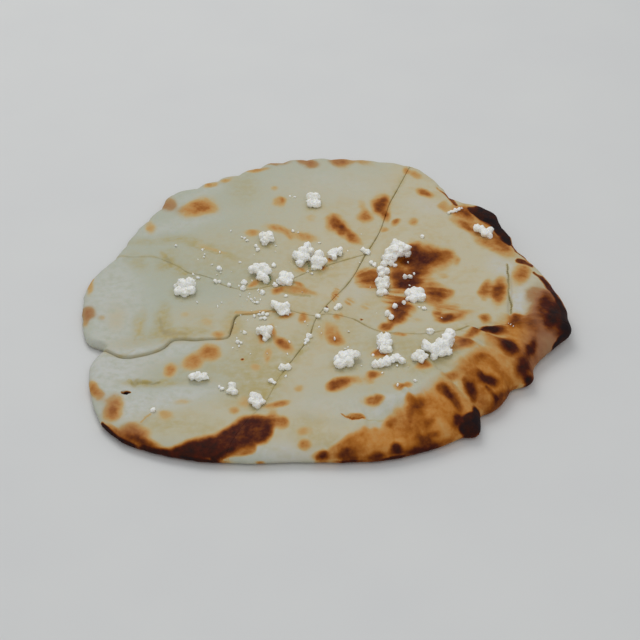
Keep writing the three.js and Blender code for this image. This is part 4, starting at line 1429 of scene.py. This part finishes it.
def bread_finish():
    finish = Finish("baked crust")
    fine, coarse, wide = (finish.speckle(size) for size in (PORES, MOTTLES, PATCHES))
    soak, cream, flour = finish.tint("soak"), finish.tint("cream"), finish.tint("flour")
    raw = finish.mix(cream, IVORY, CREAM)
    raw = finish.mix(cream * finish.within(wide * 0.6 + coarse * 0.4, 0.46, 0.62) * 0.5, raw, GOLD)
    raw = finish.mix(flour * finish.within(coarse, 0.2, 0.6), raw, FLOUR)
    # olive where oil soaked in and where the crumbs' painted shadows lie
    raw = finish.mix(finish.within(soak, 0.0, 1.0) * finish.within(coarse, 0.1, 0.65), raw, OLIVE)
    # the painted shade of furrows and open cuts, where the tint goes past 1
    raw = finish.mix(finish.within(soak, 1.0, 2.0), raw, FURROW_SHADE)
    toast = finish.tint("toast")
    mottled = toast + toast * (1.25 - toast) * ((fine - 0.5) * 0.3 + (coarse - 0.5) * 0.9)
    brown = finish.node("ShaderNodeValToRGB", {"stops": BROWNING}, {"Fac": mottled})
    brown = finish.mix(finish.tint("amber") * finish.within(toast, 0.75, 0.45) * 0.3, brown, ORANGE)
    rosy = finish.mix(finish.tint("rosy") * finish.within(toast, 0.75, 0.5) * 0.75, brown, ROSE)
    colour = finish.mix(finish.within(mottled, 0.0, 0.2), raw, rosy)
    height = fine * 0.5 + coarse * 0.5
    bump = finish.node("ShaderNodeBump", {}, {"Strength": 0.3, "Distance": 0.5 * MM, "Height": height})
    roughness = 0.56 - soak * 0.16 + finish.within(toast, 0.6, 1.0) * 0.2 + (fine - 0.5) * 0.2
    finish.set(Base_Color=colour, Roughness=roughness, Normal=bump)
    finish.set(Specular_IOR_Level=0.1)
    finish.set(Subsurface_Weight=0.1, Subsurface_Radius=(1.0, 0.6, 0.35), Subsurface_Scale=2.0 * MM)
    return finish.material


BREAD = bread_finish()
for piece in SLICES.values():
    piece.data.materials.append(BREAD)
print("bread finish:", len(BREAD.node_tree.nodes), "nodes")

# %% [markdown]
# ## The cheese crumbs
# Crumbled goat cheese breaks into lumps that are nubbly all over. Geometry Nodes suit it, because every
# crumb follows one rule: the tree sets a ball on each point of the crumb, sprinkles little nubs of many
# sizes over the balls, melts the lot together in a grid of small cells, and roughens the skin that
# comes out. One tree makes all crumbs, and only its inputs change.

# %% Node tree helper
class Tree:
    """A Geometry Nodes tree in the making."""

    def __init__(self, name, inputs):
        self.tree = bpy.data.node_groups.new(name, "GeometryNodeTree")
        self.tree.interface.new_socket("Geometry", in_out="INPUT", socket_type="NodeSocketGeometry")
        for label, kind in inputs.items():
            self.tree.interface.new_socket(label, in_out="INPUT", socket_type="NodeSocket" + kind)
        self.tree.interface.new_socket("Geometry", in_out="OUTPUT", socket_type="NodeSocketGeometry")
        self.inputs = self.tree.nodes.new("NodeGroupInput").outputs

    def node(self, kind, settings=None, values=None, output=0):
        node = self.tree.nodes.new(kind)
        for setting, value in (settings or {}).items():
            setattr(node, setting, value)
        for socket, value in (values or {}).items():
            for source in value if isinstance(value, list) else [value]:
                if isinstance(source, bpy.types.NodeSocket):
                    self.tree.links.new(source, node.inputs[socket])
                else:
                    node.inputs[socket].default_value = source
        return node.outputs[output]

    def finish(self, geometry, material):
        """Realizes the instances, sets the material and ends the tree."""
        realized = self.node("GeometryNodeRealizeInstances", {}, {"Geometry": geometry})
        painted = self.node("GeometryNodeSetMaterial", {}, {"Geometry": realized, "Material": material})
        end = self.tree.nodes.new("NodeGroupOutput")
        self.tree.links.new(painted, end.inputs["Geometry"])


def grow(piece, tree, values):
    """Runs a tree on an object with these input values, and keeps the result as a plain mesh."""
    modifier = piece.modifiers.new("grow", "NODES")
    modifier.node_group = tree
    for item in tree.interface.items_tree:
        if item.in_out == "INPUT" and item.name in values:
            modifier[item.identifier] = values[item.name]
    ready = piece.evaluated_get(bpy.context.evaluated_depsgraph_get())
    mesh = bpy.data.meshes.new_from_object(ready)
    piece.modifiers.remove(modifier)
    piece.data = mesh
    piece.data.shade_smooth()
    return piece

# %% [markdown]
# Fresh cheese is nearly white, a touch warm, and light goes a little way into it. Its finish is plain,
# so the fine grain of the curd has to carry it.

# %% Cheese finish
CURD = looks(236, 237, 231)
CURD_SHADE = looks(217, 214, 200)
CURD_GRAIN = 0.7  # size of the fine speckle
CURD_PATCHES = 3.0


def cheese_finish():
    finish = Finish("soft curd")
    grain, patches = finish.speckle(CURD_GRAIN, detail=3.0), finish.speckle(CURD_PATCHES)
    colour = finish.mix(finish.within(grain * 0.6 + patches * 0.4, 0.35, 0.6), CURD_SHADE, CURD)
    bump = finish.node("ShaderNodeBump", {}, {"Strength": 0.5, "Distance": 0.3 * MM, "Height": grain})
    finish.set(Base_Color=colour, Roughness=0.55 + grain * 0.2, Normal=bump)
    finish.set(Subsurface_Weight=0.25, Subsurface_Radius=(1.0, 0.9, 0.7), Subsurface_Scale=1.5 * MM)
    return finish.material


CHEESE = cheese_finish()
print("cheese finish:", len(CHEESE.node_tree.nodes), "nodes")

# %% [markdown]
# This is the tree itself. Its inputs are in metres, apart from the density and the seed. The named
# attribute `radius` on each point says how large the ball on it is.

# %% Cheese crumb tree
WARP_SIZE = 3.0  # size of the unevenness that makes the lobes less round
BALL_DETAIL, NUB_DETAIL = 3, 2  # how often the faces of a ball are split
SKIN_LEVEL = 0.1  # how deep in the melted grid its skin is taken
GRID_DEPTH = 5.0  # how far inside a crumb the grid still holds numbers


def crumb_tree(material):
    tree = Tree("cheese crumb", {"Nub density": "Float", "Smallest nub": "Float", "Largest nub": "Float",
        "Roughness": "Float", "Cell": "Float", "Seed": "Int"})
    given = tree.inputs
    radius = tree.node("GeometryNodeInputNamedAttribute", {"data_type": "FLOAT"}, {"Name": "radius"})
    ball = tree.node("GeometryNodeMeshIcoSphere", {}, {"Radius": 1.0, "Subdivisions": BALL_DETAIL})
    balls = tree.node("GeometryNodeInstanceOnPoints", {},
        {"Points": given["Geometry"], "Instance": ball, "Scale": radius})
    lobes = tree.node("GeometryNodeRealizeInstances", {}, {"Geometry": balls})
    spread = {"Mesh": lobes, "Density": given["Nub density"], "Seed": given["Seed"]}
    places = tree.node("GeometryNodeDistributePointsOnFaces", {}, spread)
    sizes = {2: given["Smallest nub"], 3: given["Largest nub"], "Seed": given["Seed"]}
    size = tree.node("FunctionNodeRandomValue", {}, sizes, output=1)
    nub = tree.node("GeometryNodeMeshIcoSphere", {}, {"Radius": 1.0, "Subdivisions": NUB_DETAIL})
    nubs = tree.node("GeometryNodeInstanceOnPoints", {},
        {"Points": places, "Instance": nub, "Scale": size})
    loose = tree.node("GeometryNodeRealizeInstances", {}, {"Geometry": nubs})
    both = tree.node("GeometryNodeJoinGeometry", {}, {"Geometry": [lobes, loose]})
    grid = tree.node("GeometryNodeMeshToVolume", {"resolution_mode": "VOXEL_SIZE"},
        {"Mesh": both, "Voxel Size": given["Cell"], "Interior Band Width": GRID_DEPTH * MM})
    skin = tree.node("GeometryNodeVolumeToMesh", {"resolution_mode": "VOXEL_SIZE"},
        {"Volume": grid, "Voxel Size": given["Cell"], "Threshold": SKIN_LEVEL})
    noise = tree.node("ShaderNodeTexNoise", {}, {"Scale": 1 / (WARP_SIZE * MM), "Detail": 3.0}, output=1)
    push = tree.node("ShaderNodeVectorMath", {"operation": "SUBTRACT"}, {0: noise, 1: (0.5, 0.5, 0.5)})
    offset = tree.node("ShaderNodeVectorMath", {"operation": "SCALE"},
        {0: push, "Scale": given["Roughness"]})
    rough = tree.node("GeometryNodeSetPosition", {}, {"Geometry": skin, "Offset": offset})
    tree.finish(rough, material)
    return tree.tree


CRUMB_TREE = crumb_tree(CHEESE)
print("crumb tree:", len(CRUMB_TREE.nodes), "nodes")

# %% [markdown]
# The points of each crumb are the lobes placed earlier. A lobe low in a crumb's picture lies on the
# bread. One further up stands partly behind it and partly on top of it. If it stands high, it gets
# another lobe underneath, which holds it up.

# %% Places of the lobes
PLUMP = 1.15  # the lobes are this much thicker than they look one by one
SEATED = 0.6  # height of a lobe's middle over the bread, as a share of its radius
STACKED = 0.3  # how much of a lobe's place higher in the picture comes from height
PROPPED = 1.5  # a lobe this many radii over the bread gets another one underneath
STANDING = math.cos(ELEVATION)  # how tall a standing millimetre looks


def bread_height(x, y):
    """The height of the finished top at any points of the plan."""
    points = np.stack([x, y], axis=1)
    height = finish_top(points)[0]
    on_left = (side_of("long", x, y) < 0) & (side_of("upper", x, y) < 0) & (side_of("left", x, y) > 0)
    return np.where(on_left, raise_proud_side(x, y, height), height)


def place_lobes(lobes):
    """Where the middles of one crumb's lobes lie, how far over the bread, and their radii."""
    columns, rows, radii = np.array(lobes, float).T
    radii = radii * PLUMP
    higher = in_mm(rows.max() - rows)
    above = SEATED * radii + STACKED * higher / STANDING
    places = on_bread(np.stack([columns, rows], axis=1), above)
    held = above > PROPPED * radii
    props = places[held].copy()
    props[:, 2] -= (above - SEATED * radii)[held]
    return np.vstack([places, props]), np.concatenate([radii, radii[held]])


PLACED = {number: place_lobes(lobes) for number, lobes in LOBES.items()}
ALL_PLACES = np.vstack([places for places, _ in PLACED.values()])
LIFTS = bread_height(*ALL_PLACES[:, :2].T) - top_height(*ALL_PLACES[:, :2].T)
print("lobes:", len(ALL_PLACES), "with the ones underneath")

# %% [markdown]
# Each crumb starts as a bare object with nothing but its lobes' middles as points, and the tree does
# the rest.

# %% Large crumbs
NUB = 0.7  # radius of the largest nubs of a large crumb
SMALLEST_NUB = 0.3  # the smallest ones, as a share of it
NUBS_PER_AREA = 50000  # on a square metre of crumb
CELL = 0.28  # size of the cells in which the balls melt together
ROUGH = 2.8  # how far the skin is pushed about


def point_piece(name, places, radii):
    """An object that holds nothing but points, each with a radius."""
    mesh = bpy.data.meshes.new(name)
    mesh.from_pydata(((places + MIDDLE) * MM).tolist(), [], [])
    attribute = mesh.attributes.new("radius", "FLOAT", "POINT")
    attribute.data.foreach_set("value", (radii * MM).astype(np.float32))
    piece = bpy.data.objects.new(name, mesh)
    bpy.context.scene.collection.objects.link(piece)
    return piece


def crumble(piece, seed, largest, cell, density, rough):
    """Turns a piece's points into cheese."""
    return grow(piece, CRUMB_TREE, {"Nub density": density, "Smallest nub": SMALLEST_NUB * largest * MM,
        "Largest nub": largest * MM, "Roughness": rough * MM, "Cell": cell * MM, "Seed": seed})


def make_crumb(number, lifts):
    """One crumb, with its lobes lifted by the bread's fine relief under them."""
    places, radii = PLACED[number]
    lifted = places + lifts[:, None] * [0, 0, 1]
    piece = point_piece(f"crumbled_cheese_{number:02}", lifted, radii)
    return crumble(piece, seed=number, largest=NUB, cell=CELL, density=NUBS_PER_AREA, rough=ROUGH)


LAST = np.cumsum([len(radii) for _, radii in PLACED.values()])
CRUMBS = {f"cheese_crumb_{number:02}": make_crumb(number, lifts)
    for number, lifts in zip(PLACED, np.split(LIFTS, LAST[:-1]))}
print("crumbs:", sum(len(piece.data.polygons) for piece in CRUMBS.values()), "faces")

# %% [markdown]
# ## The small crumbs
# Between the large crumbs lie many small ones, some as single grains, some in little heaps. Those that
# can be told apart are placed by their pixel. The finest are scattered where the photograph shows them
# lying thickest, with a fixed seed. They are one piece, made by the same tree with finer cells.

# %% Small crumbs
SMALL_CRUMBS = [  # column, row, and radius in millimetres
    (388, 313, 2.0), (391, 317, 1.6), (395, 306, 1.8), (430, 331, 2.2), (424, 308, 1.3),
    (339, 306, 1.9), (336, 308, 1.3), (415, 382, 1.1), (398, 386, 0.9), (371, 263, 1.5),
    (375, 265, 1.5), (395, 266, 1.3), (363, 250, 1.6), (367, 253, 1.9), (422, 237, 1.2),
    (449, 213, 1.0), (452, 211.8, 1.3), (455.5, 210.5, 1.4), (459, 209, 1.3), (462, 208, 0.8),
    (405, 277, 1.5), (410, 277, 1.5), (414, 274, 0.9), (404, 303, 1.3), (410, 285, 0.8),
    (256, 245, 1.3), (258, 249, 1.4), (242, 237, 0.8), (244, 238, 0.9), (247, 240, 1.0),
    (244, 282, 1.8), (243, 288, 1.7), (229, 285, 1.4), (274, 265, 1.5), (275, 285, 1.6),
    (262, 293, 1.5), (286, 296, 1.0), (219, 268, 1.7), (216, 282, 1.4), (220, 282, 1.2),
    (193, 275, 0.9), (198, 278, 1.1), (212, 265, 0.8), (202, 250, 0.9), (176, 246, 0.9),
    (231, 230, 0.8), (290, 196, 0.8), (294, 197, 0.8), (293, 231, 1.0), (257, 303, 1.1),
    (254, 316, 1.1), (259, 315, 1.0), (263, 314, 1.2), (267, 315, 1.1), (261, 319, 1.0),
    (265, 319, 1.2), (251, 300, 0.8), (255, 299, 0.9), (248, 297, 0.7), (245, 333, 1.2),
    (237, 342, 1.2), (241, 343, 1.0), (239, 346, 0.8), (309, 335, 1.8), (307, 340, 1.6),
    (305, 343, 1.0), (318, 316, 1.7), (326, 309, 1.4), (334, 339, 0.9), (282, 367, 2.0),
    (288, 367, 1.9), (271, 381, 1.7), (275, 383, 1.1), (286, 376, 0.9), (222, 389, 1.2),
    (219, 387, 1.0), (153, 410, 1.6), (349, 331, 0.7), (441, 318, 0.6), (408, 263, 0.7),
    (378, 348, 0.9), (373, 355, 0.8), (312, 272, 1.0), (308, 271, 0.8), (360, 263, 0.6),
    (240, 262, 0.8), (509, 321.5, 0.5), (510.5, 324, 0.5), (513, 326, 0.5),
]
DUST = [  # column, row, half width, half height, and how many grains
    (300, 262, 60, 26, 26),
    (250, 300, 40, 30, 30),
    (265, 335, 30, 30, 16),
    (390, 290, 50, 30, 18),
    (205, 262, 40, 26, 12),
    (400, 365, 50, 18, 12),
    (320, 325, 30, 26, 10),
]
SMALLEST_GRAIN, LARGEST_GRAIN = 0.35, 0.75
SMALL_NUB = 0.5
SMALL_NUBS_PER_AREA = 300000
SMALL_CELL = 0.24
SMALL_ROUGH = 2.4
SMALL_SEATED = 0.5  # height of a small crumb's middle over the bread, as a share of its radius


def make_small_crumbs():
    random = np.random.default_rng(17)
    grains = [random.normal((column, row, 0), (wide / 2, tall / 2, 0), (count, 3))
        for column, row, wide, tall, count in DUST]
    grains = np.vstack(grains)
    grains[:, 2] = random.uniform(SMALLEST_GRAIN, LARGEST_GRAIN, len(grains))
    crumbs = np.vstack([SMALL_CRUMBS, grains])
    radii = crumbs[:, 2]
    places = on_bread(crumbs[:, :2], SMALL_SEATED * radii)
    places[:, 2] = bread_height(*places[:, :2].T) + SMALL_SEATED * radii
    return crumble(point_piece("small_crumbs", places, radii), seed=31, largest=SMALL_NUB, cell=SMALL_CELL,
        density=SMALL_NUBS_PER_AREA, rough=SMALL_ROUGH)


SMALL = make_small_crumbs()
print("small crumbs:", len(SMALL.data.polygons), "faces")

# %% [markdown]
# ## Herbs
# A few bits of green herb stick to the cheese. They are so small that a chain of balls, melted together
# by the same kind of tree, gives them all their shape.

# %% Herbs
HERBS = [  # column, row, and radius in millimetres, along each leaf
    (269, 275, 0.4), (270, 277, 0.55), (270.5, 279, 0.55), (270, 281, 0.45), (269, 283, 0.35),
    (266, 284, 0.3), (268, 284, 0.35), (308, 264, 0.4), (309, 266, 0.5), (309, 268, 0.4),
    (313, 270, 0.3), (276, 266, 0.25), (266, 312, 0.25), (320, 268, 0.25),
]
HERB_HEIGHT = 2.6  # over the bread, as they stick to crumbs
HERB_CELL = 0.15
HERB_ROUGH = 0.05
HERB_PATCHES = 0.8  # size of its lighter patches
LEAF = looks(58, 84, 40)
LEAF_LIGHT = looks(104, 124, 70)


def herb_finish():
    finish = Finish("herb")
    share = finish.within(finish.speckle(HERB_PATCHES), 0.3, 0.7)
    finish.set(Base_Color=finish.mix(share, LEAF, LEAF_LIGHT), Roughness=0.5)
    return finish.material


def make_herbs():
    columns, rows, radii = np.array(HERBS).T
    places = on_bread(np.stack([columns, rows], axis=1), HERB_HEIGHT)
    tree = crumb_tree(herb_finish())
    tree.name = "herb fleck"
    piece = point_piece("herb_flecks", places, radii)
    return grow(piece, tree, {"Cell": HERB_CELL * MM, "Roughness": HERB_ROUGH * MM})


HERB_FLECKS = make_herbs()
print("herbs:", len(HERB_FLECKS.data.polygons), "faces")

# %% [markdown]
# ## Floor, light and background
# A plain pale floor and large soft lamps show the bread without adding a story of their own. The key
# light hangs behind the bread, as the window does in the photograph, so that the near side of every
# crumb and fold falls into soft shade.

# %% Floor and lights
FLOOR_COLOUR = looks(203, 203, 201)
FLOOR_SHADE = looks(200, 200, 199)
SKY_COLOUR = (0.94, 0.97, 1.0, 1.0)
SKY_STRENGTH = 0.46
FLOOR_SIZE = 8.0  # metres
FLOOR_PATCHES = 60.0  # size of its slightly darker patches, in millimetres


def make_floor():
    bpy.ops.mesh.primitive_plane_add(size=FLOOR_SIZE)
    floor = bpy.context.object
    floor.name = "floor"
    finish = Finish("pale floor")
    shade = finish.within(finish.speckle(FLOOR_PATCHES), 0.2, 0.8)
    finish.set(Base_Color=finish.mix(shade, FLOOR_COLOUR, FLOOR_SHADE), Roughness=0.9)
    floor.data.materials.append(finish.material)


def add_lamp(name, place, size, power):
    lamp = bpy.data.objects.new(name, bpy.data.lights.new(name, "AREA"))
    lamp.data.size = size
    lamp.data.energy = power
    lamp.location = place
    lamp.rotation_euler = Vector(place).to_track_quat("Z", "Y").to_euler()
    bpy.context.scene.collection.objects.link(lamp)


make_floor()
add_lamp("window behind", place=(-0.3, 0.7, 1.1), size=0.8, power=5.6)
add_lamp("soft front", place=(0.2, -0.9, 1.2), size=1.2, power=5.0)
world = bpy.data.worlds.new("soft room")
world.use_nodes = True
world.node_tree.nodes["Background"].inputs["Color"].default_value = SKY_COLOUR
world.node_tree.nodes["Background"].inputs["Strength"].default_value = SKY_STRENGTH
bpy.context.scene.world = world
bpy.context.scene.view_settings.view_transform = "Standard"
print("lamps:", sum(thing.type == "LIGHT" for thing in bpy.context.scene.objects))

# %% [markdown]
# ## The pieces take their places
# Each slice and large crumb now takes the place of its solid, and every piece rides on the one body
# that the bread is.

# %% Pieces in place
for node, piece in [*SLICES.items(), *CRUMBS.items()]:
    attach(piece, "root")
    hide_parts(node)
    "bread" if node in SLICES else "cheese"
for piece in (SMALL, HERB_FLECKS):
    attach(piece, "root")
